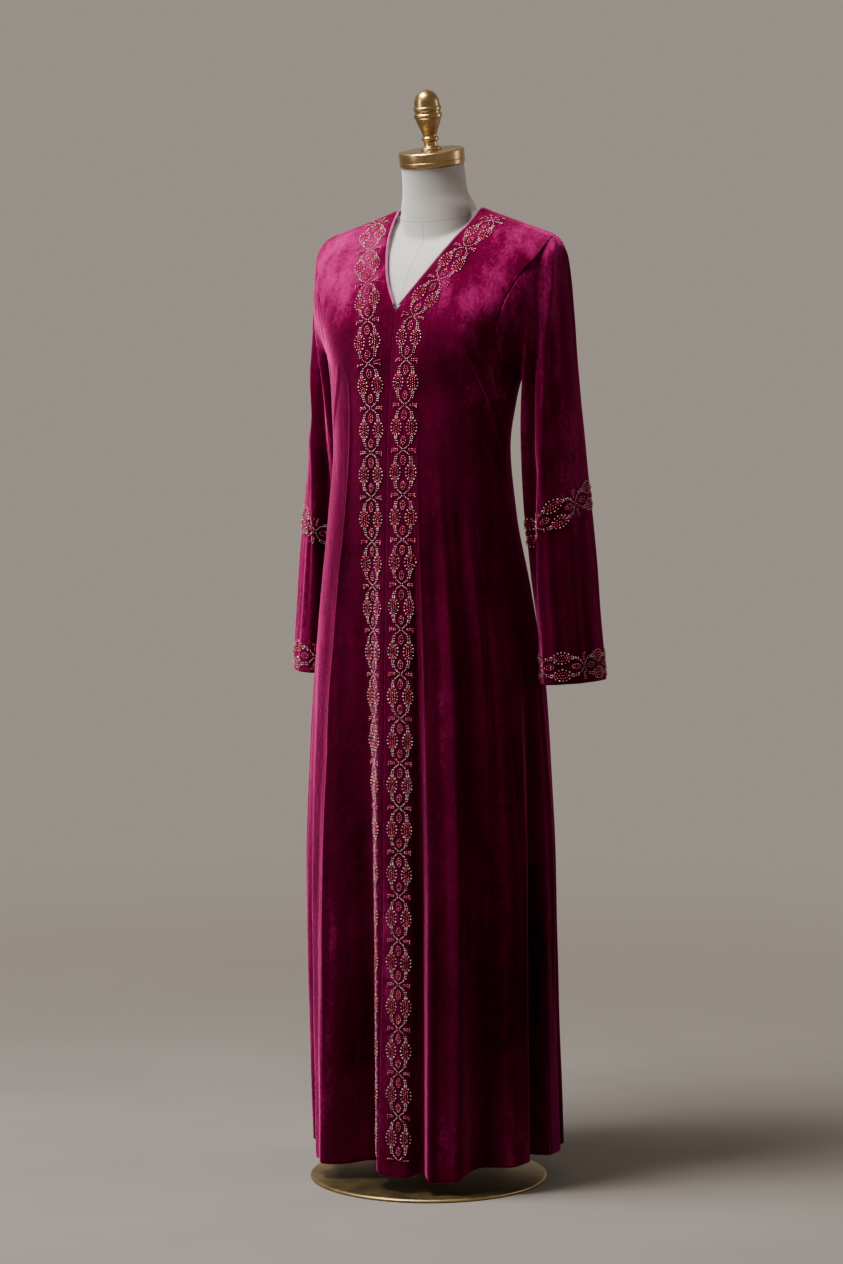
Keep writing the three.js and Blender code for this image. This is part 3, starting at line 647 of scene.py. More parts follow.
# Distance along the cloth from the nearest edge of a grid of points.
def edgeDistance(points, closed=False):
    distances = []
    for axis in (0,) if closed else (0, 1):
        length = np.linalg.norm(np.diff(points, axis=axis), axis=-1)
        start = np.zeros_like(np.take(length, [0], axis=axis))
        arc = np.concatenate([start, np.cumsum(length, axis=axis)], axis=axis)
        distances += [arc, np.take(arc, [-1], axis=axis) - arc]
    return np.minimum.reduce(distances)


# Rounds the edges: the outside drops along a quarter circle within edgeRound of an edge.
def roundEdges(points, normals, closed=False):
    near = np.clip(1 - edgeDistance(points, closed) / panelGrid["edgeRound"], 0, 1)
    drop = panelGrid["edgeDrop"] * (1 - np.sqrt(1 - near**2))
    return points - normals * drop[..., None]


# One piece of cloth from a grid of points, with the cloth's thickness inwards. It stands in for its node.
def cut(name, node, points, faces, finish, uv):
    piece = makeMesh(name, points, faces, finish, uv)
    wall = piece.modifiers.new("wall", "SOLIDIFY")
    wall.thickness = panelGrid["wall"] / 1000
    wall.offset = -1
    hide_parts(node)
    return piece


# A front or the back, from the angles and heights of its grid.
def hang(name, node, surface, angle, z):
    normals = normalOf(surface, angle, z, *panelGrid["slopeSteps"])
    points = roundEdges(surface(angle, z), normals)
    faces = facing(points, gridFaces(*angle.shape), panelGrid["inside"])
    uv = np.stack([np.radians(angle) * panelGrid["uvWidth"], z / 1000], -1)
    return cut(name, node, points, faces, velvetCloth, uv)


# Shares of the way from the hem to the underarm, closer together towards the top.
def skirtLevels():
    return 1 - (1 - steps(panelGrid["skirtRows"], False)) ** panelGrid["rowCrowding"]


# Angle and height over the whole front: the skirt's rows rise from the hem line, the yoke fills a patch.
# The angle turns fast in its last rows, so these are close and the last lies on the shoulder seam.
def frontGrid(side):
    u = steps(panelGrid["frontColumns"])
    level = skirtLevels()
    z = mix(garment["hem"], garment["underarm"], level)[:, None]
    slit = np.maximum((garment["slitTop"] - z) / (garment["slitTop"] - garment["hem"]), 0)
    lap = garment["slitLap"] * slit if side > 0 else 0 * z
    angle = side * mix(-lap, 90, u[None, :])
    skirt = np.stack([angle, mix(hemLine(angle), garment["underarm"], level[:, None])])
    v = np.append(steps(panelGrid["yokeRows"])[1:], [0.9999, 0.99998, 1.0])
    yoke = patch(
        u, v,
        lambda t: np.stack([90 * t, garment["underarm"] + 0 * t]),
        shoulderSeam,
        frontEdge,
        lambda t: armhole(t, True),
    )
    yoke[0] *= side
    return np.concatenate([skirt, yoke], 1)


def backGrid():
    half = steps(panelGrid["backColumns"] // 2)
    level = skirtLevels()
    angle = np.broadcast_to(mix(180, 90, half)[None, :], (len(level), len(half)))
    v = steps(panelGrid["yokeRows"])[1:]
    yoke = patch(
        half, v,
        lambda t: np.stack([mix(180, 90, t), garment["underarm"] + 0 * t]),
        backTop,
        lambda t: np.stack([180 + 0 * t, mix(garment["underarm"], garment["backNeck"], t)]),
        lambda t: armhole(t, False),
    )
    sides = []
    for arranged in (lambda a: a[:, ::-1], lambda a: 360 - a[:, 1:]):
        across = arranged(angle)
        rows = level[:, None] + 0 * across
        skirt = np.stack([across, mix(hemLine(across), garment["underarm"], rows)])
        height = yoke[1][:, ::-1] if not sides else yoke[1][:, 1:]
        sides.append(np.concatenate([skirt, np.stack([arranged(yoke[0]), height])], 1))
    return np.concatenate(sides, 2)


print("hanging the fronts and back")
leftSurface = cloth(folds)
rightSurface = cloth(rightFolds)
leftFront = hang("leftFront", "front_left", leftSurface, *frontGrid(1))
rightFront = hang("rightFront", "front_right", rightSurface, *frontGrid(-1))
back = hang("backPanel", "back", leftSurface, *backGrid())

# The sleeve ring by ring: its outer and inner points, its middle's y and half its depth.
sleeveSections = table("ring outX outZ inX inZ y depth", [
    (0, 187, 1382, 151, 1195, 18, 53),
    (1, 197, 1364, 154, 1187, 24, 57),
    (2, 201, 1330, 154, 1170, 32, 61),
    (3, 203, 1285, 150, 1145, 38, 64),
    (4, 205, 1230, 145, 1112, 43, 66),
    (5, 210, 1165, 142, 1075, 47, 67),
    (6, 217, 1100, 141, 1035, 50, 67),
    (7, 224, 1035, 142, 990, 52, 66),
    (8, 231, 970, 147, 940, 54, 66),
    (9, 237, 905, 152, 885, 55, 67),
    (10, 241, 845, 158, 832, 56, 68),
    (11, 246, 790, 163, 782, 57, 69),
    (12, 250, 742, 167, 737, 58, 70),
])

# Creases by turn round the sleeve and ring along it; side 0 is on both sleeves, drift is degrees a ring.
sleeveCreases = table("turn ring spread length depth side drift", [
    (55, 4.6, 10, 4.6, 5, 0, 10),
    (88, 4.8, 28, 4.4, -16, 0, 9),
    (96, 9.8, 9, 2.6, 3.0, 0, 3),
    (118, 9.6, 16, 2.8, -5, 0, 2),
    (95, 6.5, 40, 0.6, -4, 0, 0),
    (60, 5.4, 34, 0.5, -3, 0, 0),
    (-100, 5.2, 45, 0.7, -4, 0, 0),
    (35, 10, 16, 2.6, 2.5, 0, 0),
    (62, 10.5, 15, 2.4, -3, 0, 0),
    (-50, 10, 20, 2.8, -3, 0, 0),
    (0, 2.4, 85, 1.2, -9, -1, 0),
    (38, 9.4, 8, 2.2, 2.0, 0, 0),
    (22, 10.4, 9, 1.6, -1.6, 0, 0),
    (76, 9.0, 9, 2.0, 1.8, 0, 0),
    (30, 2.2, 9, 1.5, 1.8, 0, 0),
    (46, 2.8, 8, 1.7, -1.7, 0, 0),
    (14, 3.0, 10, 1.8, -1.5, 0, 0),
    (70, 3.1, 10, 1.5, 1.5, 0, 0),
    (48, 6.1, 26, 0.3, 1.9, 0, 0),
    (84, 5.9, 30, 0.3, 1.8, 0, 0),
    (110, 6.9, 34, 0.35, 1.7, 0, 0),
    (-30, 2.9, 12, 1.9, 1.8, 0, 0),
    (-64, 3.3, 11, 1.6, -1.8, 0, 0),
    (-120, 6.1, 30, 0.35, 2.0, 0, 0),
    (-95, 6.7, 34, 0.4, -1.8, 0, 0),
    (-22, 9.2, 9, 2.3, 1.9, 0, 0),
    (-75, 9.8, 10, 2.1, 1.8, 0, 0),
    (-110, 10.2, 12, 1.8, -2.0, 0, 0),
])
sleeveSettings = {
    "clearance": 3,
    "softness": 2,
    "seamOut": 0.5,
    "columns": 96,
    "rows": 104,
    "rings": 12,
    "holdRings": 3,
    "slopeSteps": (1.5, 0.04),
    "uvSize": (0.4, 0.055),
}


# |x| of the body's side at a given y.
def bodyWidthAt(y, z, side):
    surface = cloth(folds, False)
    turn = lastWhere(lambda at: surface(side * at, z)[..., 1] < y, 0 * y, 0 * y + 180, 22)
    return np.abs(surface(side * turn, z)[..., 0])


# An ellipse for each ring between its outer and inner point, pushed by the creases, drawn to the armhole
# over the first rings, and kept clear of the body's side below the underarm.
def sleeveSurface(side):
    start = rowAt(sleeveSections, np.zeros(1))

    def ellipse(row, turn):
        out = (1 + cosine(turn)) / 2
        x = mix(row["inX"], row["outX"], out)
        z = mix(row["inZ"], row["outZ"], out)
        return np.stack([x, row["y"] - row["depth"] * sine(turn), z], -1)

    def surface(turn, ring):
        turn, ring = np.broadcast_arrays(np.asarray(turn, float), np.asarray(ring, float))
        point = ellipse(rowAt(sleeveSections, ring), turn)
        out, ahead = cosine(turn), sine(turn)
        amount = 0 * turn
        for at, row, spread, length, depth, which, drift in zip(*sleeveCreases.values()):
            if which in (0, side):
                off = turnBetween(turn, at + drift * (ring - row))
                near = bump(off / spread) * bump((ring - row) / (2 * length))
                amount = amount + depth * near
        point[..., 0] += amount * out
        point[..., 1] -= amount * ahead
        hold = np.maximum(1 - ring / sleeveSettings["holdRings"], 0) ** 2
        v = 1 - np.abs(turnBetween(turn, 0)) / 180
        isFront = turn % 360 <= 180
        place = np.where(isFront, armhole(v, True), armhole(v, False))
        seam = cloth(folds, False)(place[0], place[1])
        seam[..., 0] += sleeveSettings["seamOut"]
        point += (seam - ellipse(start, turn)) * hold[..., None]
        clear = bodyWidthAt(point[..., 1], point[..., 2], side)
        clear = clear + sleeveSettings["clearance"] * np.clip(ring, 0, 1)
        beyond = point[..., 0] - clear
        pushed = clear + (beyond + np.sqrt(beyond**2 + sleeveSettings["softness"])) / 2
        below = (ring > 0) & (out < 0) & (point[..., 2] < garment["underarm"])
        point[..., 0] = np.where(below, pushed, point[..., 0])
        point[..., 0] *= side
        return point

    return surface


def hangSleeve(name, node, surface):
    turn = np.linspace(0, 360, sleeveSettings["columns"], endpoint=False)[None, :]
    ring = sleeveSettings["rings"] * steps(sleeveSettings["rows"])[:, None]
    turn, ring = np.broadcast_arrays(turn, ring)
    points = surface(turn, ring)
    normals = normalOf(surface, turn, ring, *sleeveSettings["slopeSteps"])
    axis = points.mean(1, keepdims=True)
    normals = normals * np.sign(((points - axis) * normals).sum())
    points = roundEdges(points, normals, True)
    faces = gridFaces(*turn.shape, True)
    faces = facing(points, faces, axis[faces[:, 0] // turn.shape[1], 0])
    uvTurn, uvRing = sleeveSettings["uvSize"]
    uv = np.stack([turn / 360 * uvTurn, ring * uvRing], -1)
    return cut(name, node, points, faces, sleeveVelvetPaintedPaler, uv)


print("setting in the sleeves")
sleeveLeft = sleeveSurface(1)
sleeveRight = sleeveSurface(-1)
leftSleeve = hangSleeve("leftSleeve", "sleeve_left", sleeveLeft)
rightSleeve = hangSleeve("rightSleeve", "sleeve_right", sleeveRight)

neckEdge = {
    "radius": 1.9,
    "gap": 0.3,
    "sides": 14,
    "frontSteps": 90,
    "backSteps": 80,
    "slopeSteps": (0.5, 1.0),
    "meetGap": 0.6,
    "meetHeight": 20,
}


# The rolled edge: a tube just inside the neck opening, up one front, round the back and down the other. Its
# two ends stop short of each other at the foot of the V.
def rolledEdge():
    v = np.linspace(vShare, 1, neckEdge["frontSteps"])
    front = frontEdge(v)
    behind = backTop(np.linspace(neckShare, 0, neckEdge["backSteps"])[1:])
    half = np.concatenate([front, behind], 1)
    route = np.concatenate([half * [[-1], [1]], half[:, -2::-1]], 1)
    point = leftSurface(*route)
    normal = normalOf(leftSurface, *route, *neckEdge["slopeSteps"])
    along = unit(np.gradient(point, axis=0))
    inward = unit(np.cross(normal, along))
    inward = inward * np.sign(inward[:, 2:3])
    middle = point + inward * (neckEdge["radius"] + neckEdge["gap"]) - normal * garment["wall"] / 2
    keep = np.abs(middle[:, 0]) > neckEdge["radius"] + neckEdge["meetGap"]
    keep |= middle[:, 2] > garment["vTip"] + neckEdge["meetHeight"]
    middle, inward, normal = middle[keep], inward[keep], normal[keep]
    turn = np.linspace(0, 2 * np.pi, neckEdge["sides"], endpoint=False)[None, :, None]
    ends = np.minimum(np.arange(len(middle)), np.arange(len(middle))[::-1])
    radius = (neckEdge["radius"] * np.sqrt(np.clip(ends / 2, 0.0, 1)))[:, None, None]
    return middle[:, None] + radius * (np.cos(turn) * inward[:, None] + np.sin(turn) * normal[:, None])


# A closed skin over rings, turned outwards; rings that shrink to a point close its ends.
def skin(name, rings, finish):
    faces = gridFaces(*rings.shape[:2], True)
    faces = facing(rings, faces, rings.mean(1)[faces[:, 0] // rings.shape[1]])
    piece = makeMesh(name, rings, faces, finish)
    work = bmesh.new()
    work.from_mesh(piece.data)
    bmesh.ops.remove_doubles(work, verts=work.verts, dist=1e-6)
    work.to_mesh(piece.data)
    work.free()
    return piece


print("rolling the neck edge")
edge = skin("neckEdge", rolledEdge(), edgeCloth)
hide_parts("neck_binding")

# The form's cover lies just below its solid's skin. Rows are first height, last height and count.
formShape = {
    "skinBelow": 0.7,
    "drop": 0.3,
    "columns": 128,
    "rows": [(770, 800, 8), (806, 1300, 62), (1304, 1487.5, 84)],
    "neckFrom": 1330,
    "torsoTo": 1446,
    "blend": 3.0,
    "tilt": 11,
    "tiltFrom": 1440,
    "topHeight": 1487.5,
    "topY": 10.5,
}

torsoSections = table("z width side front back square", [
    (770, 112, 12, -66, 88, 2.2),
    (778, 126, 12, -78, 100, 2.2),
    (800, 137, 11, -86, 100, 2.2),
    (880, 141, 6, -90, 96, 2.2),
    (980, 127, -6, -90, 70, 2.1),
    (1075, 112, -12, -90, 58, 2.1),
    (1150, 122, -8, -96, 62, 2.2),
    (1228, 142, 6, -97, 76, 2.3),
    (1275, 156, 18, -87, 83, 2.4),
    (1320, 167, 29, -66, 85, 2.5),
    (1350, 175, 34, -44, 84, 2.6),
    (1379.15, 187, 38, -11, 77, 2.1),
    (1397.15, 139, 37, 11, 73, 2.1),
    (1408.15, 107, 36, 23, 67, 2.1),
    (1416.5, 73, 35, 23, 54, 2),
    (1419.5, 63, 34, 19, 54, 2),
    (1432, 57, 32, 14, 52, 2),
    (1446, 49, 26, 4, 46, 2),
])
neckSections = table("z width y depth", [
    (1330, 50, 30, 40),
    (1395, 56, 26, 43),
    (1424, 55, 23, 44.5),
    (1445, 50, 19, 44.5),
    (1465, 47.5, 15, 45),
    (1487.5, 46.4, 10.5, 46.4),
])


# Distance from the neck's middle to a section, in given directions: its own points turned polar.
def reachOf(points, centre, direction):
    offX, offY = points[:, 0], points[:, 1] - centre
    turn = np.degrees(np.arctan2(offX, -offY))
    order = np.argsort(turn)
    return np.interp(direction, turn[order], np.hypot(offX, offY)[order], period=360)


# The form: at each height the torso's and the neck's sections joined by a soft maximum. It is tilted forward
# towards the top of the neck and closed at both ends by rings that shrink to the middle.
def formRings():
    shape = formShape
    direction = np.linspace(-180, 180, shape["columns"], endpoint=False)
    angles = np.linspace(-180, 180, 361)
    heights = np.concatenate([np.linspace(*row) for row in shape["rows"]])
    rings = []
    for height in heights:
        z = np.array([height])
        neck = rowAt(neckSections, np.maximum(z, shape["neckFrom"]))
        centre = neck["y"][0]
        reach = np.zeros_like(direction)
        if height <= shape["torsoTo"]:
            reach = reachOf(sectionPoint(angles, height, rowAt(torsoSections, z)), centre, direction)
        if height >= shape["neckFrom"]:
            inverse = (sine(direction) / neck["width"]) ** 2 + (cosine(direction) / neck["depth"]) ** 2
            oval = inverse**-0.5
            soft = shape["blend"]
            reach = soft * np.logaddexp(reach / soft, oval / soft)
        reach = reach - shape["skinBelow"]
        leaned = (height - shape["tiltFrom"]) / (shape["topHeight"] - shape["tiltFrom"])
        tilt = math.radians(shape["tilt"]) * np.clip(leaned, 0, 1)
        ahead = -reach * cosine(direction)
        z = height + ahead * math.sin(tilt) - shape["drop"]
        rings.append(np.stack([reach * sine(direction), centre + ahead * math.cos(tilt), z], -1))
    bottom, top = (
        [end.mean(0) + (end - end.mean(0)) * share for share in shares]
        for end, shares in ((rings[0], (0.0, 0.5, 0.9)), (rings[-1], (0.9, 0.5, 0.0)))
    )
    return np.concatenate([bottom, rings, top])


print("building the dress form")
form = skin("formCover", formRings(), coverCloth)
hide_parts("form_torso")


# Profile turned round Z, with segments round it and its ends on the axis.
def turned(radius, height, segments):
    turn = np.linspace(0, 2 * np.pi, segments, endpoint=False)
    x = radius[:, None] * np.cos(turn)
    y = radius[:, None] * np.sin(turn)
    return np.stack([x, y, height[:, None] + 0 * x], -1)


# The corners of a profile rounded: each is replaced by a short quarter of points between its two neighbours.
def rounded(profile, reach, count=4):
    profile = np.array(profile, float)
    out = [profile[0]]
    for before, corner, after in zip(profile[:-2], profile[1:-1], profile[2:]):
        start = corner + (before - corner) * min(reach / max(np.linalg.norm(before - corner), 1e-6), 0.45)
        end = corner + (after - corner) * min(reach / max(np.linalg.norm(after - corner), 1e-6), 0.45)
        t = np.linspace(0, 1, count)[:, None]
        out.extend((1 - t) ** 2 * start + 2 * t * (1 - t) * corner + t**2 * end)
    out.append(profile[-1])
    return np.array(out)


# Leans a turned piece with the neck and lifts it by a height along the neck's own line.
def onNeck(points, lift):
    tilt = math.radians(formShape["tilt"])
    x, y, z = points[..., 0], points[..., 1], points[..., 2] + lift
    leaned = [x, y * math.cos(tilt) - z * math.sin(tilt), y * math.sin(tilt) + z * math.cos(tilt)]
    return np.stack(leaned, -1) + [0, formShape["topY"], formShape["topHeight"]]


metalwork = {
    "cap": [
        (0, 0), (46.8, 0), (47.8, 1.0), (47.8, 6.6), (47.2, 7.2), (47.8, 7.8), (47.8, 19.6), (46.4, 21),
        (0, 21),
    ],
    "pole": [(0, 5.3), (15, 5.3), (15, 769.7), (0, 769.7)],
    "base": [(0, 0), (173.5, 0), (175, 1.4), (175, 3.4), (172.5, 5), (120, 5), (0, 5)],
}
finialProfile = table("height radius", [
    (0.01, 15), (3, 15), (6, 10), (12, 9.6), (14.5, 12.4), (17.5, 12.4), (20, 10.2), (27, 12.2),
    (38, 16.6), (46, 19.4), (48, 20.7), (51.5, 20.7), (53.5, 18.8), (56, 18.8), (58, 20.2), (61.5, 20.2),
    (63.5, 18.9), (70, 18.2), (77.5, 15.4), (83.5, 10), (86.5, 4),
])
finialSettings = {"tip": ([86.9, 87.1], [2.6, 0]), "rings": 120, "segments": 72, "lift": 21.6}


# The finial is one smooth turning from its foot up, closed by a blunt tip.
def finialRings():
    tipHeight, tipRadius = finialSettings["tip"]
    height = np.linspace(0, finialProfile["height"][-1], finialSettings["rings"])
    radius = np.concatenate([[0], rowAt(finialProfile, height)["radius"], tipRadius])
    rings = turned(radius, np.concatenate([[0], height, tipHeight]), finialSettings["segments"])
    return onNeck(rings, finialSettings["lift"])


def turnedPiece(name, profile, segments, finish, node, lift=None, reach=0.8):
    line = rounded(profile, reach)
    rings = turned(line[:, 0], line[:, 1], segments)
    if lift is not None:
        rings = onNeck(rings, lift)
    piece = skin(name, rings, finish)
    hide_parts(node)
    return piece


print("turning the brass")
turnedPiece("neckCap", metalwork["cap"], 144, polishedBrass, "form_neck_cap", 0.3, 0.5)
finial = skin("finial", finialRings(), polishedBrass)
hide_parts("form_finial")
turnedPiece("pole", metalwork["pole"], 48, agedBrass, "form_pole")
turnedPiece("basePlate", metalwork["base"], 192, agedBrass, "form_base")

# The bead band: one repeat of the chart, the sizes of the beads and where the bands run.
beadBand = {
    "repeat": 66.0,
    "leafCentre": 12.4,
    "leafHalf": 8.1,
    "leafLength": 15.8,
    "outlinePitch": 4.9,
    "fillPitch": 3.6,
    "fillReach": (0.88, 0.78),
    "fillSpread": 0.46,
    "silver": 1.3,
    "red": 1.15,
    "rose": 1.045,
    "rosePitch": 2.7,
    "roseHalf": 3.6,
    "roseLeaves": ((13.6, 6.6), (50.8, 7.2)),
    "heart": 2.0,
    "loneBead": (18.4, 3.4),
    "frontRepeats": 22.2,
    "sleeveRepeats": 5,
    "endGap": 2,
    "tangentStep": 1.5,
    "lift": 0.85,
    "wobble": 0.16,
    "sizes": (0.92, 1.06),
    "foot": 26,
    "top": 1410.5,
    "chest": 1200,
}

# Chains at each end of the repeat: places across from the middle and back from the end, pitch, radius, kind.
bandChains = [
    ([(9.25, 8.6), (11.55, 18.4)], 3.0, 1.026, 0),
    ([(11.95, 8.6), (14.25, 18.4)], 3.0, 1.026, 0),
    ([(0.9, 0.8), (9.4, 7.6)], 2.7, 0.95, 0),
    ([(7.8, 0.9), (14.5, 1.5), (19.8, 1.2)], 3.1, 1.15, 2),
]

phi = (1 + math.sqrt(5)) / 2
ballPoints = unit(np.array([
    (-1, phi, 0), (1, phi, 0), (-1, -phi, 0), (1, -phi, 0), (0, -1, phi), (0, 1, phi),
    (0, -1, -phi), (0, 1, -phi), (phi, 0, -1), (phi, 0, 1), (-phi, 0, -1), (-phi, 0, 1),
]))
ballFaces = np.array([
    (0, 11, 5), (0, 5, 1), (0, 1, 7), (0, 7, 10), (0, 10, 11), (1, 5, 9), (5, 11, 4),
    (11, 10, 2), (10, 7, 6), (7, 1, 8), (3, 9, 4), (3, 4, 2), (3, 2, 6), (3, 6, 8),
    (3, 8, 9), (4, 9, 5), (2, 4, 11), (6, 2, 10), (8, 6, 7), (9, 8, 1),
])


# Length along a curve at each of its points.
def lengthAlong(curve):
    return np.append(0, np.cumsum(np.linalg.norm(np.diff(curve, axis=0), axis=1)))


# Places at an even pitch along a curve given by its points.
def evenly(curve, pitch):
    length = lengthAlong(curve)
    count = max(int(round(length[-1] / pitch)), 1)
    at = (np.arange(count) + 0.5) / count * length[-1]
    return np.stack([np.interp(at, length, curve[:, 0]), np.interp(at, length, curve[:, 1])], -1)


# One repeat of the band: across and along in millimetres, radius, and kind (0 silver, 1 red, 2 rose).
# A pointed leaf is c +- h (1 - t^2) for t from -1 to 1; chains cross at each end of the repeat.
def motif():
    look = beadBand
    half = look["repeat"] / 2
    t = np.linspace(-1, 1, 80)
    beads = []

    def add(points, radius, kind):
        beads.extend((x, s, radius, kind) for x, s in points)

    for side in (-1, 1):
        centre = side * look["leafCentre"]
        for edge in (-1, 1):
            across = centre + edge * look["leafHalf"] * (1 - t**2)
            curve = np.stack([across, half + look["leafLength"] * t], -1)
            add(evenly(curve, look["outlinePitch"]), look["silver"], 0)
        for column in (-1, 0, 1):
            reach = look["fillReach"][abs(column)]
            inner = np.linspace(-reach, reach, 60)
            across = centre + column * look["fillSpread"] * look["leafHalf"] * (1 - inner**2)
            curve = np.stack([across, half + look["leafLength"] * inner], -1)
            add(evenly(curve, look["fillPitch"]), look["red"], 1)
        for end in (-1, 1):
            knot = half + end * half
            for places, pitch, radius, kind in bandChains:
                chain = np.array([(side * x, knot - end * s) for x, s in places])
                add(evenly(chain, pitch), radius, kind)
            if end > 0:
                x, s = look["loneBead"]
                add([(side * x, knot - s)], look["red"], 2)
    for s, length in look["roseLeaves"]:
        for edge in (-1, 1):
            curve = np.stack([edge * look["roseHalf"] * (1 - t**2), s + length * t], -1)
            add(evenly(curve, look["rosePitch"]), look["rose"], 2)
        add([(0, s - look["heart"]), (0, s + look["heart"])], look["red"], 2)
    return np.array(beads)


# Beads along a route given in the surface's own two coordinates, with the chart stretched to fit it. Each is
# carried across from the route, settled onto the cloth and lifted by part of its radius.
def layBeads(surface, route, repeats, slopes, outwards):
    look = beadBand
    length = lengthAlong(surface(*route))

    def lineAt(along):
        return [np.interp(along, length, part) for part in route]

    chart = motif()
    pitch = length[-1] / repeats
    count = math.ceil(repeats)
    along = (chart[:, 1] * pitch / look["repeat"] + np.arange(count)[:, None] * pitch).ravel()
    kept = along < length[-1] - (0 if count == repeats else look["endGap"])
    along = along[kept]
    across, radius, kind = (np.tile(chart[:, column], count)[kept] for column in (0, 2, 3))
    a, b = lineAt(along)
    ahead = np.clip(along + look["tangentStep"], 0, length[-1])
    behind = np.clip(along - look["tangentStep"], 0, length[-1])
    tangent = unit(surface(*lineAt(ahead)) - surface(*lineAt(behind)))
    normal = normalOf(surface, a, b, *slopes) * outwards
    target = surface(a, b) + np.cross(tangent, normal) * across[:, None]
    a, b = settle(surface, a, b, target, *slopes)
    normal = normalOf(surface, a, b, *slopes) * outwards
    rng = np.random.default_rng(17)
    wobble = rng.normal(0, look["wobble"], (len(radius), 3))
    place = surface(a, b) + normal * (radius * look["lift"])[:, None] + wobble
    radius = radius * rng.uniform(*look["sizes"], len(radius))
    return place, radius, kind, rng.uniform(0, 1, len(radius))


beadKinds = [
    ("Silver", silverBeads, "beads_silver"),
    ("Red", redBeads, "beads_red"),
    ("Rose", roseBeads, "beads_red"),
]


# One piece for each kind of bead, every bead a small ball of twenty faces with a tone of its own.
def beadPieces(name, sets):
    place, radius, kind, tone = (np.concatenate(part) for part in zip(*sets))
    for index, (suffix, finish, slot) in enumerate(beadKinds):
        chosen = kind == index
        points = place[chosen][:, None] + radius[chosen][:, None, None] * ballPoints
        faces = ballFaces[None] + 12 * np.arange(chosen.sum())[:, None, None]
        piece = makeMesh(name + suffix, points, faces.reshape(-1, 3), finish)
        layer = piece.data.attributes.new("beadTone", "FLOAT", "POINT")
        layer.data.foreach_set("value", np.repeat(tone[chosen], 12).astype(np.float32))


bandLine = table("z x", [
    (40, 28), (400, 27), (700, 27.5), (950, 27.5), (1080, 27), (1150, 27.5), (1200, 28.5), (1240, 29),
    (1265, 31.5), (1290, 42.5), (1313.5, 55.5), (1340, 68), (1362, 78.5), (1385, 88.5), (1403, 97.5),
    (1412, 102),
])
rightBandLine = table("z x", [
    (40, 28), (400, 27), (700, 27.5), (950, 27.5), (1080, 27), (1135, 28.5), (1196, 34), (1240, 40),
    (1265, 43.5), (1290, 51), (1313.5, 60), (1340, 70), (1362, 77.5), (1385, 86), (1403, 93), (1412, 96),
])


# Angle and height of the band's centre line, from the hem up to the shoulder seam. Below the chest it keeps
# its distance from centre front along the folded cloth.
def bandRoute(side, surface):
    z = np.linspace(garment["hem"] + beadBand["foot"], beadBand["top"], 420)
    width = rowAt(bandLine if side > 0 else rightBandLine, z)["x"]
    turn = np.linspace(0, 40, 161)
    around = surface(side * turn[None, :], z[:, None])
    reach = np.cumsum(np.linalg.norm(np.diff(around, axis=1), axis=2), axis=1)
    hung = np.array([np.interp(wide, row, turn[1:]) for wide, row in zip(width, reach)])
    return side * np.where(z < beadBand["chest"], hung, angleAtWidth(width, z)), z


# Once round a sleeve from a turn, at a ring that dips by a tilt towards the inner front.
def sleeveRoute(start, ring, tilt):
    turn = start + np.linspace(0, 360, 240)
    return turn, ring + tilt * cosine(turn - 120)


print("sewing on the beads")
for side, surface, name in ((1, leftSurface, "leftBeads"), (-1, rightSurface, "rightBeads")):
    route = bandRoute(side, surface)
    beadPieces(name, [layBeads(surface, route, beadBand["frontRepeats"], panelGrid["slopeSteps"], 1)])
for side, surface, name, ring in (
    (1, sleeveLeft, "leftSleeveBeads", 7.55),
    (-1, sleeveRight, "rightSleeveBeads", 7.83),
):
    routes = (sleeveRoute(21.5, ring, 0.25), sleeveRoute(29.5, 11.45, 0.0))
    repeats, slopes = beadBand["sleeveRepeats"], sleeveSettings["slopeSteps"]
    beadPieces(name, [layBeads(surface, route, repeats, slopes, side) for route in routes])

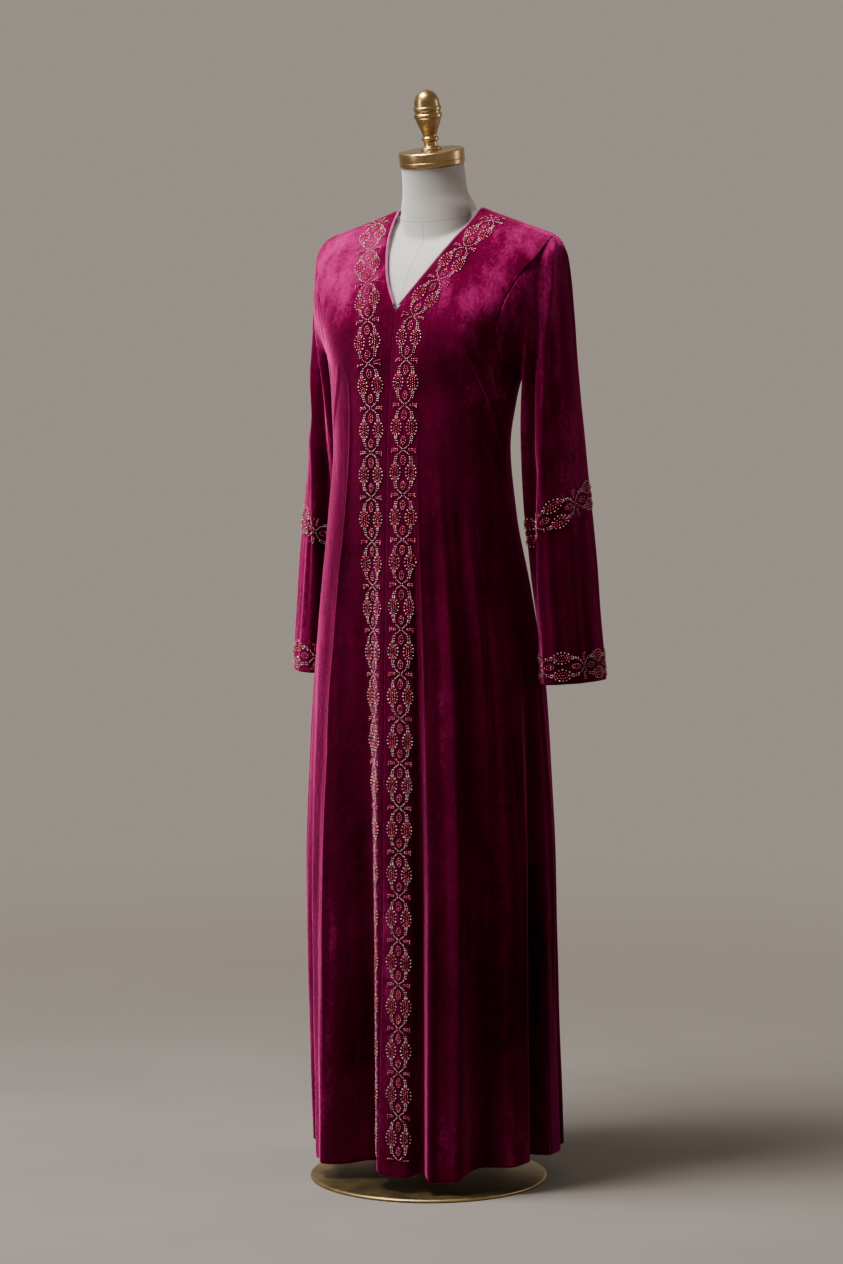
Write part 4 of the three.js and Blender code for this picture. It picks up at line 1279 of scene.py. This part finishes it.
# Floor, light and camera, in metres. Each light is its name, place, aim, size, power and colour.
studio = {
    "floor": (0.185, 0.168, 0.152),
    "floorRadius": (0.9, 3.4),
    "world": (0.70, 0.605, 0.515, 1),
    "worldStrength": 0.5,
    "camera": (2.55, -4.4167, 1.206),
    "aim": (-0.0094, -0.0055, 0.8075),
    "lens": 99.5,
    "lights": [
        ("overhead", (-0.62, -0.85, 3.1), (0, -0.05, 1.2), (1.1, 0.9), 200, (1.0, 0.98, 0.95)),
        ("keySide", (-1.75, -2.2, 1.9), (0, 0, 0.7), (0.6, 1.8), 40, (1.0, 0.98, 0.96)),
        ("rimRight", (2.4, 1.9, 1.6), (0, 0, 0.8), (0.5, 2.2), 20, (1.0, 0.98, 0.97)),
    ],
}


# Places a light or a camera and turns it towards its aim.
def aimed(thing, place, aim):
    thing.location = place
    thing.rotation_euler = (Vector(aim) - Vector(place)).to_track_quat("-Z", "Y").to_euler()
    bpy.context.scene.collection.objects.link(thing)


# A pale floor that fades out round the object, so that it shows no edge against the world.
def floorPlane():
    near, size = studio["floorRadius"]
    mesh = bpy.data.meshes.new("floor")
    corners = [(x * size, y * size, 0) for x, y in ((-1, -1), (1, -1), (1, 1), (-1, 1))]
    mesh.from_pydata(corners, [], [(0, 1, 2, 3)])
    finish = Finish("floor", Roughness=0.9, Specular_IOR_Level=0.1)
    mottle = finish.noise(3, 4)
    low, high = (tuple(part * share for part in studio["floor"]) for share in (0.94, 1.04))
    finish.link("Base Color", mottle.ramp((0.3, low), (0.7, high)))
    far = (finish.x * finish.x + finish.y * finish.y) ** 0.5
    solid = 1 - far.between(near, size)
    finish.link("Alpha", solid * solid)
    mesh.materials.append(finish.material)
    floor = bpy.data.objects.new("floor", mesh)
    bpy.context.scene.collection.objects.link(floor)


def areaLight(name, place, aim, size, power, colour):
    data = bpy.data.lights.new(name, "AREA")
    data.shape = "RECTANGLE"
    data.size, data.size_y = size
    data.energy = power
    data.color = colour
    aimed(bpy.data.objects.new(name, data), place, aim)


print("setting the studio")
floorPlane()
world = bpy.data.worlds.new("studio")
bpy.context.scene.world = world
world.use_nodes = True
background = world.node_tree.nodes["Background"]
background.inputs["Color"].default_value = studio["world"]
background.inputs["Strength"].default_value = studio["worldStrength"]
for light in studio["lights"]:
    areaLight(*light)
camera = bpy.data.objects.new("camera", bpy.data.cameras.new("camera"))
camera.data.sensor_fit = "VERTICAL"
camera.data.sensor_height = 36
camera.data.lens = studio["lens"]
aimed(camera, studio["camera"], studio["aim"])
bpy.context.scene.camera = camera
